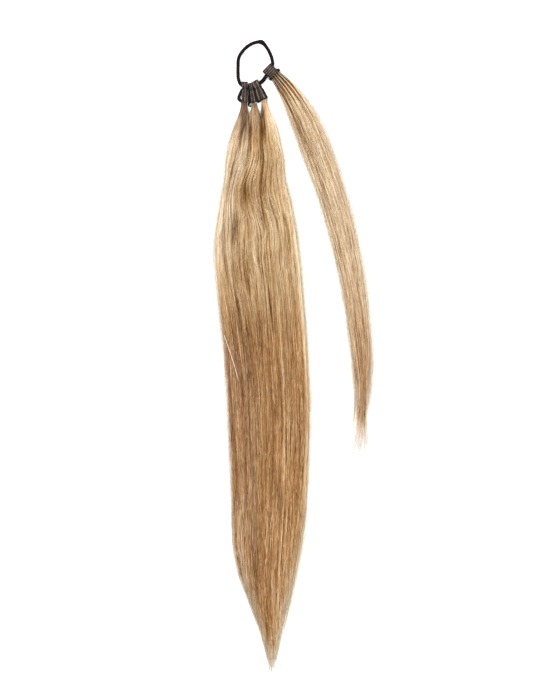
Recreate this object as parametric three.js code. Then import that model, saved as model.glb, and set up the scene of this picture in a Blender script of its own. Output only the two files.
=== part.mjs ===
// Braid hairpiece: a ponytail extension on an elastic hair tie, laid flat.
//
// A closed loop of braided elastic cord carries four folded ribbon tabs. Each
// tab clasps the sewn head of one weft (a dark, stitched track), and a hank of
// straight hair hangs from each weft. Three wefts sit side by side and their
// hanks lie together as the tail that gets braided; the fourth sits apart on
// the right and its thinner hank is the wrap that covers the elastic.
//
// Millimetres, +Z up. The piece lies on the plane Z = 0. The origin is the
// middle of the elastic loop, on that plane; the tail runs towards -Y. Tables
// give "down", the distance below the loop's middle, which is -Y.

import * as THREE from "three";

// ---------------------------------------------------------------- sizes ----
const CORD_D = 3.3; // elastic cord
const CORD_R = CORD_D / 2;
const JOIN_SWELL = 0.38; // the glued join is this much thicker than the cord
const JOIN_HALF_LENGTH = 2.8;
const CORD_STEPS = 72;
const CORD_SIDES = 8;

const RIBBON_T = 1.0; // ribbon wall, a folded and sewn double layer
const FOLD_CLEAR = 0.32; // room between the cord and the inside of the fold
const FOLD_R = CORD_R + FOLD_CLEAR + RIBBON_T; // outside of the fold
const CORD_LIFT = FOLD_R - CORD_R; // how far a tab lifts the cord off the plane

const TRACK_FOOT = 1.35; // the sewn weft head lies between the two leaves
const TRACK_H = 2.3;

const HANK_GAP = 0.5; // between hanks that lie side by side
const HANK_TOP_POINTS = 9; // points over the top of a hank's section
const TAIL_SECTIONS = 20;
const WRAP_SECTIONS = 22;

// --------------------------------------------------------------- tables ----
// The loop's middle line, clockwise from the left. lift is 1 inside a tab.
const LOOP = [
  { x: -17.0, y: -3.0, lift: 0.02 },
  { x: -16.3, y: 6.8, lift: 0 },
  { x: -12.7, y: 13.2, lift: 0 },
  { x: -6.7, y: 19.0, lift: 0 },
  { x: 0.0, y: 22.2, lift: 0 },
  { x: 6.6, y: 22.6, lift: 0, join: true },
  { x: 11.2, y: 18.0, lift: 0.02 },
  { x: 14.8, y: 11.8, lift: 0.06 },
  { x: 17.0, y: 5.6, lift: 0.4 },
  { x: 17.5, y: -0.1, lift: 0.96 }, // side tab
  { x: 14.6, y: -5.8, lift: 1 },
  { x: 10.8, y: -11.8, lift: 1 },
  { x: 7.6, y: -16.2, lift: 1 },
  { x: 3.2, y: -19.2, lift: 1 }, // right tab
  { x: -3.6, y: -21.4, lift: 1 }, // middle tab
  { x: -9.6, y: -21.4, lift: 1 }, // left tab
  { x: -13.7, y: -20.1, lift: 0.98 },
  { x: -16.3, y: -15.4, lift: 0.5 },
  { x: -17.0, y: -9.2, lift: 0.08 },
];

// Folded ribbon tabs. x, y is the middle of the fold's outside edge, heading
// the way the leaves run (degrees from +X), leaf the depth from the fold to
// the free ends, head and foot the width at the fold and at the free ends,
// level where the top leaf starts to come down, and mouth how far apart the
// leaves are at the free ends.
const TABS = [
  { name: "tab_left", x: -10.25, y: -16.6, heading: -89.5, leaf: 20.9, head: 6.0, foot: 6.6, level: 6.7, mouth: 3.0 },
  { name: "tab_middle", x: -4.6, y: -18.0, heading: -79.0, leaf: 19.8, head: 3.6, foot: 5.6, level: 6.4, mouth: 3.0 },
  { name: "tab_right", x: -0.1, y: -15.5, heading: -68.0, leaf: 20.2, head: 5.8, foot: 10.2, level: 7.2, mouth: 3.0 },
  { name: "tab_side", x: 11.2, y: -2.3, heading: -43.5, leaf: 10.7, head: 10.8, foot: 10.8, level: 8.6, mouth: 3.2 },
];

// Weft heads: the middle line of each stitched band seen from above, and its
// thickness in that view. The two narrow ones are folded, and a loop of the
// band stands out of the side of its tab.
const TRACKS = [
  {
    name: "weft_left",
    thick: 2.4,
    line: [
      { x: -13.1, down: 24.6 },
      { x: -14.5, down: 27.4 },
      { x: -15.8, down: 30.2 },
      { x: -16.7, down: 33.0 },
      { x: -15.9, down: 35.3 },
      { x: -13.8, down: 36.5 },
      { x: -11.2, down: 36.7 },
      { x: -8.6, down: 36.6 },
    ],
  },
  {
    name: "weft_middle",
    thick: 1.0,
    line: [
      { x: -0.4, down: 37.5 },
      { x: -2.2, down: 37.8 },
      { x: -4.4, down: 38.2 },
      { x: -6.2, down: 39.0 },
      { x: -6.5, down: 40.4 },
      { x: -5.4, down: 41.5 },
      { x: -4.1, down: 41.0 },
      { x: -3.95, down: 39.9 },
    ],
  },
  {
    name: "weft_right",
    thick: 2.4,
    line: [
      { x: 2.8, down: 36.6 },
      { x: 7.6, down: 34.5 },
      { x: 12.4, down: 32.4 },
    ],
  },
  {
    name: "weft_side",
    thick: 2.5,
    line: [
      { x: 14.6, down: 15.2 },
      { x: 19.6, down: 9.9 },
      { x: 24.6, down: 4.6 },
    ],
  },
];

// Where each hank leaves its weft head, from its left side to its right.
const ROOTS = {
  hair_left: { leftX: -14.2, leftDown: 38.3, rightX: -7.8, rightDown: 38.1 },
  hair_middle: { leftX: -2.7, leftDown: 39.4, rightX: 1.9, rightDown: 39.1 },
  hair_right: { leftX: 6.2, leftDown: 37.1, rightX: 13.0, rightDown: 34.2 },
};
const ROOT_FOOT = 0.9; // underside and height of a hank where it leaves the weft
const ROOT_H = 4.0;

// The tail, from the tabs to its tip. left and right are its sides, cutLeft
// and cutRight where one hank lies against the next, height its thickness as
// it lies, and groove how deep the valleys between the hanks are.
const TAIL = [
  { down: 48, left: -16.6, cutLeft: -6.0, cutRight: 5.4, right: 17.6, height: 8.0, groove: 0.62 },
  { down: 65, left: -22.0, cutLeft: -5.4, cutRight: 7.3, right: 23.2, height: 11.5, groove: 0.58 },
  { down: 80, left: -26.0, cutLeft: -5.8, cutRight: 7.3, right: 25.8, height: 13.4, groove: 0.5 },
  { down: 97, left: -29.0, cutLeft: -7.2, cutRight: 6.8, right: 28.6, height: 14.8, groove: 0.42 },
  { down: 115, left: -30.4, cutLeft: -8.8, cutRight: 6.6, right: 30.8, height: 15.5, groove: 0.36 },
  { down: 135, left: -34.0, cutLeft: -10.2, cutRight: 9.0, right: 36.2, height: 16.0, groove: 0.3 },
  { down: 185, left: -39.8, cutLeft: -12.2, cutRight: 15.6, right: 44.4, height: 16.0, groove: 0.18 },
  { down: 255, left: -34.0, cutLeft: -6.0, cutRight: 22.2, right: 50.4, height: 15.0, groove: 0.1 },
  { down: 335, left: -28.2, cutLeft: -0.6, cutRight: 26.8, right: 54.4, height: 14.0, groove: 0.08 },
  { down: 415, left: -24.2, cutLeft: 1.6, cutRight: 27.0, right: 52.6, height: 12.6, groove: 0.07 },
  { down: 460, left: -22.6, cutLeft: 1.4, cutRight: 25.2, right: 49.2, height: 11.4, groove: 0.06 },
  { down: 500, left: -17.0, cutLeft: 2.6, cutRight: 22.2, right: 41.6, height: 9.8, groove: 0.05 },
  { down: 540, left: -4.6, cutLeft: 7.8, cutRight: 20.4, right: 33.0, height: 7.6, groove: 0.05 },
  { down: 575, left: 8.2, cutLeft: 13.8, cutRight: 19.6, right: 25.4, height: 5.2, groove: 0.05 },
  { down: 602, left: 14.2, cutLeft: 15.8, cutRight: 17.4, right: 19.0, height: 2.2, groove: 0.05 },
];

// The wrap hank, along its own middle line.
const WRAP = [
  { x: 21.4, down: 11.6, width: 12.4, height: 4.2 },
  { x: 30.0, down: 22.0, width: 17.6, height: 6.2 },
  { x: 39.2, down: 35.5, width: 21.4, height: 7.8 },
  { x: 49.6, down: 55.0, width: 26.0, height: 9.0 },
  { x: 61.6, down: 85.0, width: 28.8, height: 9.4 },
  { x: 71.8, down: 115.0, width: 28.0, height: 9.4 },
  { x: 81.0, down: 145.0, width: 27.0, height: 9.2 },
  { x: 91.0, down: 185.0, width: 25.2, height: 9.0 },
  { x: 100.2, down: 235.0, width: 21.8, height: 8.4 },
  { x: 106.0, down: 285.0, width: 19.6, height: 7.6 },
  { x: 107.4, down: 322.0, width: 15.8, height: 6.4 },
  { x: 107.2, down: 350.0, width: 12.8, height: 5.0 },
  { x: 108.4, down: 374.0, width: 9.2, height: 3.4 },
  { x: 110.4, down: 396.0, width: 3.2, height: 1.6 },
];

// ------------------------------------------------------------ materials ----
const cordCloth = new THREE.MeshStandardMaterial({ color: 0x2b2220, roughness: 0.75, metalness: 0 });
const ribbonCloth = new THREE.MeshStandardMaterial({ color: 0x4f4743, roughness: 0.85, metalness: 0 });
const trackThread = new THREE.MeshStandardMaterial({ color: 0x1f1a18, roughness: 0.8, metalness: 0 });
const hairFibre = new THREE.MeshStandardMaterial({ color: 0xc39d6d, roughness: 0.45, metalness: 0 });

// -------------------------------------------------------------- helpers ----
const named = (geometry, material, name) => {
  const mesh = new THREE.Mesh(geometry, material);
  mesh.name = name;
  return mesh;
};

// A column of a table as a smooth function of a key column (Catmull-Rom on
// uneven keys, with the end slopes taken from the end rows).
function column(table, key, name) {
  const k = table.map((row) => row[key]);
  const v = table.map((row) => row[name]);
  const slope = v.map((_, i) => {
    const a = Math.max(i - 1, 0);
    const b = Math.min(i + 1, v.length - 1);
    return (v[b] - v[a]) / (k[b] - k[a]);
  });
  return (at) => {
    let i = 0;
    while (i < k.length - 2 && at > k[i + 1]) i++;
    const d = k[i + 1] - k[i];
    const t = THREE.MathUtils.clamp((at - k[i]) / d, 0, 1);
    const t2 = t * t;
    const t3 = t2 * t;
    return (
      (2 * t3 - 3 * t2 + 1) * v[i] +
      (t3 - 2 * t2 + t) * d * slope[i] +
      (3 * t2 - 2 * t3) * v[i + 1] +
      (t3 - t2) * d * slope[i + 1]
    );
  };
}

// A closed solid through rings of equal length, each end closed by a cap.
function loft(rings) {
  const n = rings[0].length;
  const position = rings.flat().flatMap((p) => [p.x, p.y, p.z]);
  const index = [];
  for (let r = 0; r + 1 < rings.length; r++)
    for (let i = 0; i < n; i++) {
      const a = r * n + i;
      const b = r * n + ((i + 1) % n);
      index.push(a, a + n, b, b, a + n, b + n);
    }
  const cap = (ring, base, flip) => {
    const along = new THREE.Vector3().subVectors(ring[n - 1], ring[0]).normalize();
    const flat = ring.map((p) => new THREE.Vector2(p.clone().sub(ring[0]).dot(along), p.z));
    const turned = THREE.ShapeUtils.isClockWise(flat);
    for (const [a, b, c] of THREE.ShapeUtils.triangulateShape(flat, []))
      turned === flip ? index.push(base + a, base + c, base + b) : index.push(base + a, base + b, base + c);
  };
  cap(rings[0], 0, true);
  cap(rings[rings.length - 1], (rings.length - 1) * n, false);
  const geometry = new THREE.BufferGeometry();
  geometry.setAttribute("position", new THREE.Float32BufferAttribute(position, 3));
  geometry.setIndex(index);
  geometry.computeVertexNormals();
  return geometry;
}

// One section of a hank as it lies: flat below, and domed above from side a to
// side b. top gives the height at a place from -1 (a) to 1 (b).
function section(a, b, foot, top) {
  const ring = [new THREE.Vector3(a.x, a.y, foot)];
  for (let i = 0; i < HANK_TOP_POINTS; i++) {
    const u = -Math.cos((Math.PI * i) / (HANK_TOP_POINTS - 1));
    const t = (u + 1) / 2;
    ring.push(new THREE.Vector3(a.x + (b.x - a.x) * t, a.y + (b.y - a.y) * t, foot + top(u)));
  }
  ring.push(new THREE.Vector3(b.x, b.y, foot));
  return ring;
}

// The rounded top of hair that lies loose: full in the middle, thin at a side.
const dome = (v) => 0.1 + 0.9 * Math.pow(Math.max(0, 1 - Math.pow(Math.abs(v), 2.6)), 0.62);

// The same where a hank leaves its weft, pressed flat by the stitching.
const rootTop = (u) => ROOT_H * (0.45 + 0.55 * dome(u)) - ROOT_FOOT;

// ----------------------------------------------------------- the elastic ----
const elasticLine = new THREE.CatmullRomCurve3(
  LOOP.map((p) => new THREE.Vector3(p.x, p.y, CORD_R + p.lift * CORD_LIFT)),
  true,
  "centripetal",
);

function elasticLoop() {
  const geometry = new THREE.TubeGeometry(elasticLine, CORD_STEPS, CORD_R, CORD_SIDES, true);
  const join = LOOP.find((p) => p.join);
  const at = geometry.getAttribute("position");
  const middle = new THREE.Vector3();
  const point = new THREE.Vector3();
  for (let ring = 0; ring <= CORD_STEPS; ring++) {
    elasticLine.getPointAt((ring % CORD_STEPS) / CORD_STEPS, middle);
    const away = Math.hypot(middle.x - join.x, middle.y - join.y) / JOIN_HALF_LENGTH;
    const swell = 1 + JOIN_SWELL * Math.exp(-away * away);
    const lift = CORD_R * (swell - 1); // the thicker join still lies on the plane
    for (let side = 0; side <= CORD_SIDES; side++) {
      const i = ring * (CORD_SIDES + 1) + side;
      point.fromBufferAttribute(at, i).sub(middle).multiplyScalar(swell).add(middle);
      at.setXYZ(i, point.x, point.y, point.z + lift);
    }
  }
  return geometry;
}

// -------------------------------------------------------------- the tabs ----
// The ribbon seen from its edge: a leaf below, the fold round the cord, and a
// leaf above that comes down onto the weft.
function ribbonEdge({ leaf, level, mouth }) {
  const edge = new THREE.Shape();
  const inner = FOLD_R - RIBBON_T;
  edge.moveTo(leaf, 0);
  edge.lineTo(FOLD_R, 0);
  edge.absarc(FOLD_R, FOLD_R, FOLD_R, -Math.PI / 2, Math.PI / 2, true);
  edge.lineTo(level, 2 * FOLD_R);
  edge.lineTo(leaf, RIBBON_T + mouth + RIBBON_T);
  edge.lineTo(leaf, RIBBON_T + mouth);
  edge.lineTo(level, FOLD_R + inner);
  edge.lineTo(FOLD_R, FOLD_R + inner);
  edge.absarc(FOLD_R, FOLD_R, inner, Math.PI / 2, (3 * Math.PI) / 2, false);
  edge.lineTo(leaf, RIBBON_T);
  return edge;
}

function ribbonTab(tab) {
  const geometry = new THREE.ExtrudeGeometry(ribbonEdge(tab), {
    depth: tab.head,
    bevelEnabled: false,
    steps: 1,
    curveSegments: 7,
  });
  geometry.translate(0, 0, -tab.head / 2);
  const at = geometry.getAttribute("position");
  for (let i = 0; i < at.count; i++) {
    const share = THREE.MathUtils.clamp((at.getX(i) - FOLD_R) / (tab.leaf - FOLD_R), 0, 1);
    at.setZ(i, at.getZ(i) * THREE.MathUtils.lerp(1, tab.foot / tab.head, share));
  }
  const mesh = named(geometry, ribbonCloth, tab.name);
  mesh.rotation.x = Math.PI / 2;
  const place = new THREE.Group();
  place.position.set(tab.x, tab.y, 0);
  place.rotation.z = THREE.MathUtils.degToRad(tab.heading);
  place.add(mesh);
  return place;
}

// -------------------------------------------------------- the weft heads ----
// The band's outline from above: its line moved to either side, round ends.
function trackOutline({ thick, line }) {
  const curve = new THREE.CatmullRomCurve3(
    line.map((p) => new THREE.Vector3(p.x, -p.down, 0)),
    false,
    "centripetal",
  );
  const steps = line.length > 3 ? 22 : 4;
  const half = thick / 2;
  const left = [];
  const right = [];
  for (let i = 0; i <= steps; i++) {
    const p = curve.getPointAt(i / steps);
    const t = curve.getTangentAt(i / steps);
    left.push(new THREE.Vector2(p.x - t.y * half, p.y + t.x * half));
    right.push(new THREE.Vector2(p.x + t.y * half, p.y - t.x * half));
  }
  const tip = (share, sign) => {
    const p = curve.getPointAt(share);
    const t = curve.getTangentAt(share);
    return new THREE.Vector2(p.x + sign * t.x * half * 0.8, p.y + sign * t.y * half * 0.8);
  };
  return new THREE.Shape([...right, tip(1, 1), ...left.reverse(), tip(0, -1)]);
}

function weftHead(track) {
  const geometry = new THREE.ExtrudeGeometry(trackOutline(track), {
    depth: TRACK_H,
    bevelEnabled: false,
    steps: 1,
  });
  const mesh = named(geometry, trackThread, track.name);
  mesh.position.z = TRACK_FOOT;
  return mesh;
}

// -------------------------------------------------------------- the hair ----
const tail = Object.fromEntries(
  Object.keys(TAIL[0]).map((name) => [name, column(TAIL, "down", name)]),
);
const tailStart = TAIL[0].down;
const tailEnd = TAIL[TAIL.length - 1].down;
// Sections lie closer together near the tabs and at the tip.
const tailStations = Array.from({ length: TAIL_SECTIONS }, (_, i) => {
  const t = i / (TAIL_SECTIONS - 1);
  return THREE.MathUtils.lerp(tailStart, tailEnd, 0.35 * t + 0.65 * (t * t * (1.9 - 0.9 * t)));
});

function tailHank(name, sideA, sideB, gapA, gapB) {
  const root = ROOTS[name];
  const rings = [
    section(
      { x: root.leftX, y: -root.leftDown },
      { x: root.rightX, y: -root.rightDown },
      ROOT_FOOT,
      rootTop,
    ),
  ];
  for (const down of tailStations) {
    const left = tail.left(down);
    const right = tail.right(down);
    const middle = (left + right) / 2;
    const a = tail[sideA](down) + gapA;
    const b = tail[sideB](down) - gapB;
    const groove = tail.groove(down);
    rings.push(
      section({ x: a, y: -down }, { x: b, y: -down }, 0, (u) => {
        const x = a + ((b - a) * (u + 1)) / 2;
        const whole = dome(((x - middle) * 2) / (right - left));
        return tail.height(down) * whole * (1 - groove * Math.pow(Math.abs(u), 3.2));
      }),
    );
  }
  return named(loft(rings), hairFibre, name);
}

function wrapHank(name) {
  const line = new THREE.CatmullRomCurve3(
    WRAP.map((p) => new THREE.Vector3(p.x, -p.down, 0)),
    false,
    "centripetal",
  );
  const width = column(WRAP, "down", "width");
  const height = column(WRAP, "down", "height");
  const rings = [];
  for (let i = 0; i < WRAP_SECTIONS; i++) {
    const share = i / (WRAP_SECTIONS - 1);
    const p = line.getPointAt(share);
    const t = line.getTangentAt(share).normalize();
    const half = width(-p.y) / 2;
    const a = { x: p.x + t.y * half, y: p.y - t.x * half };
    const b = { x: p.x - t.y * half, y: p.y + t.x * half };
    rings.push(
      i === 0
        ? section(a, b, ROOT_FOOT, rootTop)
        : section(a, b, 0, (u) => height(-p.y) * dome(u)),
    );
  }
  return named(loft(rings), hairFibre, name);
}

// ---------------------------------------------------------- the assembly ----
const hairpiece = new THREE.Group();
hairpiece.name = "braid_hairpiece";

const tie = new THREE.Group();
tie.add(named(elasticLoop(), cordCloth, "elastic_loop"));
for (const tab of TABS) tie.add(ribbonTab(tab));
hairpiece.add(tie);

const wefts = new THREE.Group();
for (const track of TRACKS) wefts.add(weftHead(track));
wefts.add(
  tailHank("hair_left", "left", "cutLeft", 0, HANK_GAP / 2),
  tailHank("hair_middle", "cutLeft", "cutRight", HANK_GAP / 2, HANK_GAP / 2),
  tailHank("hair_right", "cutRight", "right", HANK_GAP / 2, 0),
  wrapHank("hair_side"),
);
hairpiece.add(wefts);

export default hairpiece;
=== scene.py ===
import math

import bpy
import numpy as np
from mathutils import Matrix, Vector

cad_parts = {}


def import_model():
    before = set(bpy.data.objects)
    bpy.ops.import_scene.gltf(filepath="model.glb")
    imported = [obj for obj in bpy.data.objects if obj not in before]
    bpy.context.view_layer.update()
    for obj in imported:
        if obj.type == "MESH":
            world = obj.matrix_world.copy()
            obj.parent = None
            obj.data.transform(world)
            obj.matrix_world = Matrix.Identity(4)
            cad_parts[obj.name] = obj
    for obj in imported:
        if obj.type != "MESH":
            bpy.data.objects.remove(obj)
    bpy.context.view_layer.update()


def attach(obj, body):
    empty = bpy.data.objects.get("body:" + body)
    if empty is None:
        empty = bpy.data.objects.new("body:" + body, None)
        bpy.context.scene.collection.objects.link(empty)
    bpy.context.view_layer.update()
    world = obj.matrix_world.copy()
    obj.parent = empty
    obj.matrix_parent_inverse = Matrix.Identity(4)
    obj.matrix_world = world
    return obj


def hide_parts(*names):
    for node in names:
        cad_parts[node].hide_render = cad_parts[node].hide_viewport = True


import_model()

MM = 0.001

# Everything below is in millimetres in the part's own frame until a mesh is
# made: +Z up, the hair runs towards -Y, "down" is -Y from the loop's middle.

# ------------------------------------------------------------------ sizes --
CORD_R = 1.65
RIBBON_T = 1.0
FOLD_R = CORD_R + 0.32 + RIBBON_T
CORD_LIFT = FOLD_R - CORD_R
JOIN_SWELL, JOIN_HALF = 0.38, 2.8
TRACK_FOOT, TRACK_H = 1.35, 2.3
ROOT_FOOT, ROOT_H = 0.9, 4.0
HANK_GAP = 0.5

LOOP = [  # x, y, lift: the middle line of the elastic
    (-17.0, -3.0, 0.02), (-16.3, 6.8, 0), (-12.7, 13.2, 0), (-6.7, 19.0, 0), (0.0, 22.2, 0),
    (6.6, 22.6, 0), (11.2, 18.0, 0.02), (14.8, 11.8, 0.06), (17.0, 5.6, 0.4), (17.5, -0.1, 0.96),
    (14.6, -5.8, 1), (10.8, -11.8, 1), (7.6, -16.2, 1), (3.2, -19.2, 1), (-3.6, -21.4, 1),
    (-9.6, -21.4, 1), (-13.7, -20.1, 0.98), (-16.3, -15.4, 0.5), (-17.0, -9.2, 0.08),
]
JOIN_AT = (6.6, 22.6)

TABS = {  # folded ribbon: fold middle x, y, heading, leaf depth, widths, level, mouth
    "tab_left": dict(x=-10.25, y=-16.6, heading=-89.5, leaf=20.9, head=6.0, foot=6.6, level=6.7, mouth=3.0),
    "tab_middle": dict(x=-4.6, y=-18.0, heading=-79.0, leaf=19.8, head=3.6, foot=5.6, level=6.4, mouth=3.0),
    "tab_right": dict(x=-0.1, y=-15.5, heading=-68.0, leaf=20.2, head=5.8, foot=10.2, level=7.2, mouth=3.0),
    "tab_side": dict(x=11.2, y=-2.3, heading=-43.5, leaf=10.7, head=10.8, foot=10.8, level=8.6, mouth=3.2),
}

TRACKS = {  # weft heads: thickness seen from above, and middle line as x, down
    "weft_left": (2.4, [(-13.1, 24.6), (-14.5, 27.4), (-15.8, 30.2), (-16.7, 33.0), (-15.9, 35.3), (-13.8, 36.5), (-11.2, 36.7), (-8.6, 36.6)]),
    "weft_middle": (1.0, [(-0.4, 37.5), (-2.2, 37.8), (-4.4, 38.2), (-6.2, 39.0), (-6.5, 40.4), (-5.4, 41.5), (-4.1, 41.0), (-3.95, 39.9)]),
    "weft_right": (2.4, [(2.8, 36.6), (7.6, 34.5), (12.4, 32.4)]),
    "weft_side": (2.5, [(14.6, 15.2), (19.6, 9.9), (24.6, 4.6)]),
}

ROOTS = {  # where a hank leaves its weft head: left x, down, right x, down
    "hair_left": (-14.2, 38.3, -7.8, 38.1),
    "hair_middle": (-2.7, 39.4, 1.9, 39.1),
    "hair_right": (6.2, 37.1, 13.0, 34.2),
}

TAIL_COLUMNS = ("down", "left", "cut_left", "cut_right", "right", "height", "groove")
TAIL = np.array([
    (48, -16.6, -6.0, 5.4, 17.6, 8.0, 0.62),
    (65, -22.0, -5.4, 7.3, 23.2, 11.5, 0.58),
    (80, -26.0, -5.8, 7.3, 25.8, 13.4, 0.50),
    (97, -29.0, -7.2, 6.8, 28.6, 14.8, 0.42),
    (115, -30.4, -8.8, 6.6, 30.8, 15.5, 0.36),
    (135, -34.0, -10.2, 9.0, 36.2, 16.0, 0.30),
    (185, -39.8, -12.2, 15.6, 44.4, 16.0, 0.18),
    (255, -34.0, -6.0, 22.2, 50.4, 15.0, 0.10),
    (335, -28.2, -0.6, 26.8, 54.4, 14.0, 0.08),
    (415, -24.2, 1.6, 27.0, 52.6, 12.6, 0.07),
    (460, -22.6, 1.4, 25.2, 49.2, 11.4, 0.06),
    (500, -17.0, 2.6, 22.2, 41.6, 9.8, 0.05),
    (540, -4.6, 7.8, 20.4, 33.0, 7.6, 0.05),
    (575, 8.2, 13.8, 19.6, 25.4, 5.2, 0.05),
    (602, 14.2, 15.8, 17.4, 19.0, 2.2, 0.05),
], float)

WRAP = np.array([  # x, down, width, height of the wrap hank along its line
    (21.4, 11.6, 12.4, 4.2), (30.0, 22.0, 17.6, 6.2), (39.2, 35.5, 21.4, 7.8), (49.6, 55.0, 26.0, 9.0),
    (61.6, 85.0, 28.8, 9.4), (71.8, 115.0, 28.0, 9.4), (81.0, 145.0, 27.0, 9.2), (91.0, 185.0, 25.2, 9.0),
    (100.2, 235.0, 21.8, 8.4), (106.0, 285.0, 19.6, 7.6), (107.4, 322.0, 15.8, 6.4), (107.2, 350.0, 12.8, 5.0),
    (108.4, 374.0, 9.2, 3.4), (110.4, 396.0, 3.2, 1.6),
], float)

PARTINGS = [  # where the tail's hair divides, dipped there and painted darker as painted shade: half width, depth, line as x, down
    (1.6, 0.85, [(-11.5, 44), (-11.4, 62), (-13.5, 72), (-14.8, 84)]),
    (1.3, 0.60, [(-4.2, 58), (-4.6, 70), (-5.2, 82)]),
    (2.6, 0.95, [(7.2, 42), (8.0, 58), (8.8, 74)]),
    (2.4, 0.60, [(7.4, 50), (6.8, 66), (6.2, 84), (6.0, 96)]),
    (1.0, 0.55, [(8.8, 92), (7.6, 106), (5.8, 118), (5.4, 128), (7.4, 142), (9.8, 162)]),
    (0.9, 0.50, [(-18.8, 88), (-22.4, 105), (-26.0, 120)]),
    (0.8, 0.40, [(-13.5, 84), (-18.0, 104), (-22.6, 124)]),
    (1.0, 0.50, [(-6.8, 86), (-8.6, 100), (-8.4, 110), (-9.8, 120)]),
    (2.4, 0.58, [(-9.6, 112), (-9.8, 122), (-9.4, 136)]),
    (2.6, 0.46, [(-18.6, 150), (-20.6, 166), (-21.2, 176)]),
    (0.8, 0.45, [(-10.6, 172), (-10.8, 196)]),
    (1.3, 0.45, [(29.6, 150), (33.8, 168), (35.0, 186)]),
    (1.1, 0.60, [(-8.0, 196), (-6.4, 212), (-4.4, 228)]),
    (1.1, 0.55, [(9.4, 188), (10.6, 206), (13.4, 226), (17.4, 256)]),
    (3.0, 0.30, [(-18.0, 238), (-15.0, 272)]),
    (1.7, 1.15, [(-24.0, 352), (-22.0, 373), (-20.6, 386), (-19.8, 397), (-18.4, 410), (-18.0, 424)]),
    (1.3, 0.80, [(11.8, 545), (12.4, 564), (13.2, 582)]),
    (1.0, 0.62, [(-5.0, 470), (-4.6, 516)]),
    (1.0, 0.60, [(0.4, 492), (1.4, 528)]),
    (0.8, 0.60, [(0.8, 536), (3.6, 553)]),
    (1.0, 0.50, [(21.0, 490), (20.0, 530)]),
]
GLEAMS = [  # paler locks of the tail: half width, amount, line as x, down
    (1.8, 0.16, [(-2.6, 42), (-7.0, 60), (-12.0, 75), (-17.5, 90)]),
    (2.4, 0.15, [(-16.5, 46), (-20.0, 65), (-24.0, 80), (-26.5, 100)]),
    (4.5, 0.18, [(12.5, 40), (18.0, 60), (22.0, 75), (24.5, 104)]),
    (6.0, 0.12, [(-14.0, 84), (-13.0, 112)]),
    (3.5, 0.12, [(-32.0, 132), (-35.0, 165), (-35.5, 200)]),
    (4.0, 0.18, [(31.0, 140), (40.0, 175), (44.0, 205), (47.0, 250)]),
    (3.0, 0.10, [(50.5, 255), (51.5, 330)]),
    (1.2, 0.20, [(-20.0, 362), (-17.6, 380), (-16.0, 400)]),
    (1.2, 0.22, [(-9.0, 508), (-5.0, 532)]),
    (2.0, 0.14, [(18.0, 500), (19.5, 556), (18.0, 588)]),
]

TONES = [  # broad paler and darker places of the tail, partly the hair's own colour and partly painted light and shade: x, down, half width, half length, amount
    (-7.0, 57, 4.0, 18, -0.20), (8.0, 50, 3.5, 14, -0.22), (0.0, 68, 5.0, 10, -0.12), (8.5, 120, 4.0, 26, -0.22),
    (15.0, 115, 3.0, 30, -0.10), (-10.0, 131, 8.0, 12, -0.17), (-16.0, 200, 7.0, 22, -0.13), (-9.0, 212, 4.0, 12, -0.12),
    (-17.0, 167, 3.0, 8, -0.15), (-7.0, 262, 7.0, 28, -0.17), (14.0, 187, 3.0, 12, -0.15), (14.0, 260, 4.0, 36, -0.14),
    (-16.0, 85, 4.0, 28, 0.13), (-1.0, 95, 5.0, 12, 0.12), (-1.0, 182, 5.0, 22, 0.12), (28.0, 132, 5.0, 18, 0.15),
    (20.0, 112, 3.0, 8, 0.10), (-28.0, 187, 3.0, 16, 0.08), (-26.0, 146, 5.0, 8, 0.12), (10.0, 280, 2.5, 32, 0.12),
    (25.0, 210, 4.0, 14, 0.06), (-16.0, 430, 9.0, 60, 0.12), (-22.0, 108, 6.0, 26, 0.07),
    (2.0, 272, 5.0, 36, -0.10), (22.0, 275, 5.0, 38, -0.07), (-2.0, 125, 7.0, 9, -0.08), (16.0, 145, 8.0, 9, -0.08),
    (25.0, 390, 9.0, 36, -0.07), (12.0, 406, 5.0, 22, -0.06),
]


# ---------------------------------------------------------------- helpers --
def smooth(a, b, x):
    t = np.clip((np.asarray(x, float) - a) / (b - a), 0, 1)
    return t * t * (3 - 2 * t)


def hermite(keys, values):
    """A smooth function through the values at uneven keys."""
    keys, values = np.asarray(keys, float), np.asarray(values, float)
    n = len(keys)
    lo = np.maximum(np.arange(n) - 1, 0)
    hi = np.minimum(np.arange(n) + 1, n - 1)
    slope = (values[hi] - values[lo]) / (keys[hi] - keys[lo])

    def at(x):
        x = np.asarray(x, float)
        i = np.clip(np.searchsorted(keys, x, side="right") - 1, 0, n - 2)
        d = keys[i + 1] - keys[i]
        t = np.clip((x - keys[i]) / d, 0, 1)
        t2, t3 = t * t, t * t * t
        return ((2 * t3 - 3 * t2 + 1) * values[i] + (t3 - 2 * t2 + t) * d * slope[i]
                + (3 * t2 - 2 * t3) * values[i + 1] + (t3 - t2) * d * slope[i + 1])
    return at


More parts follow.
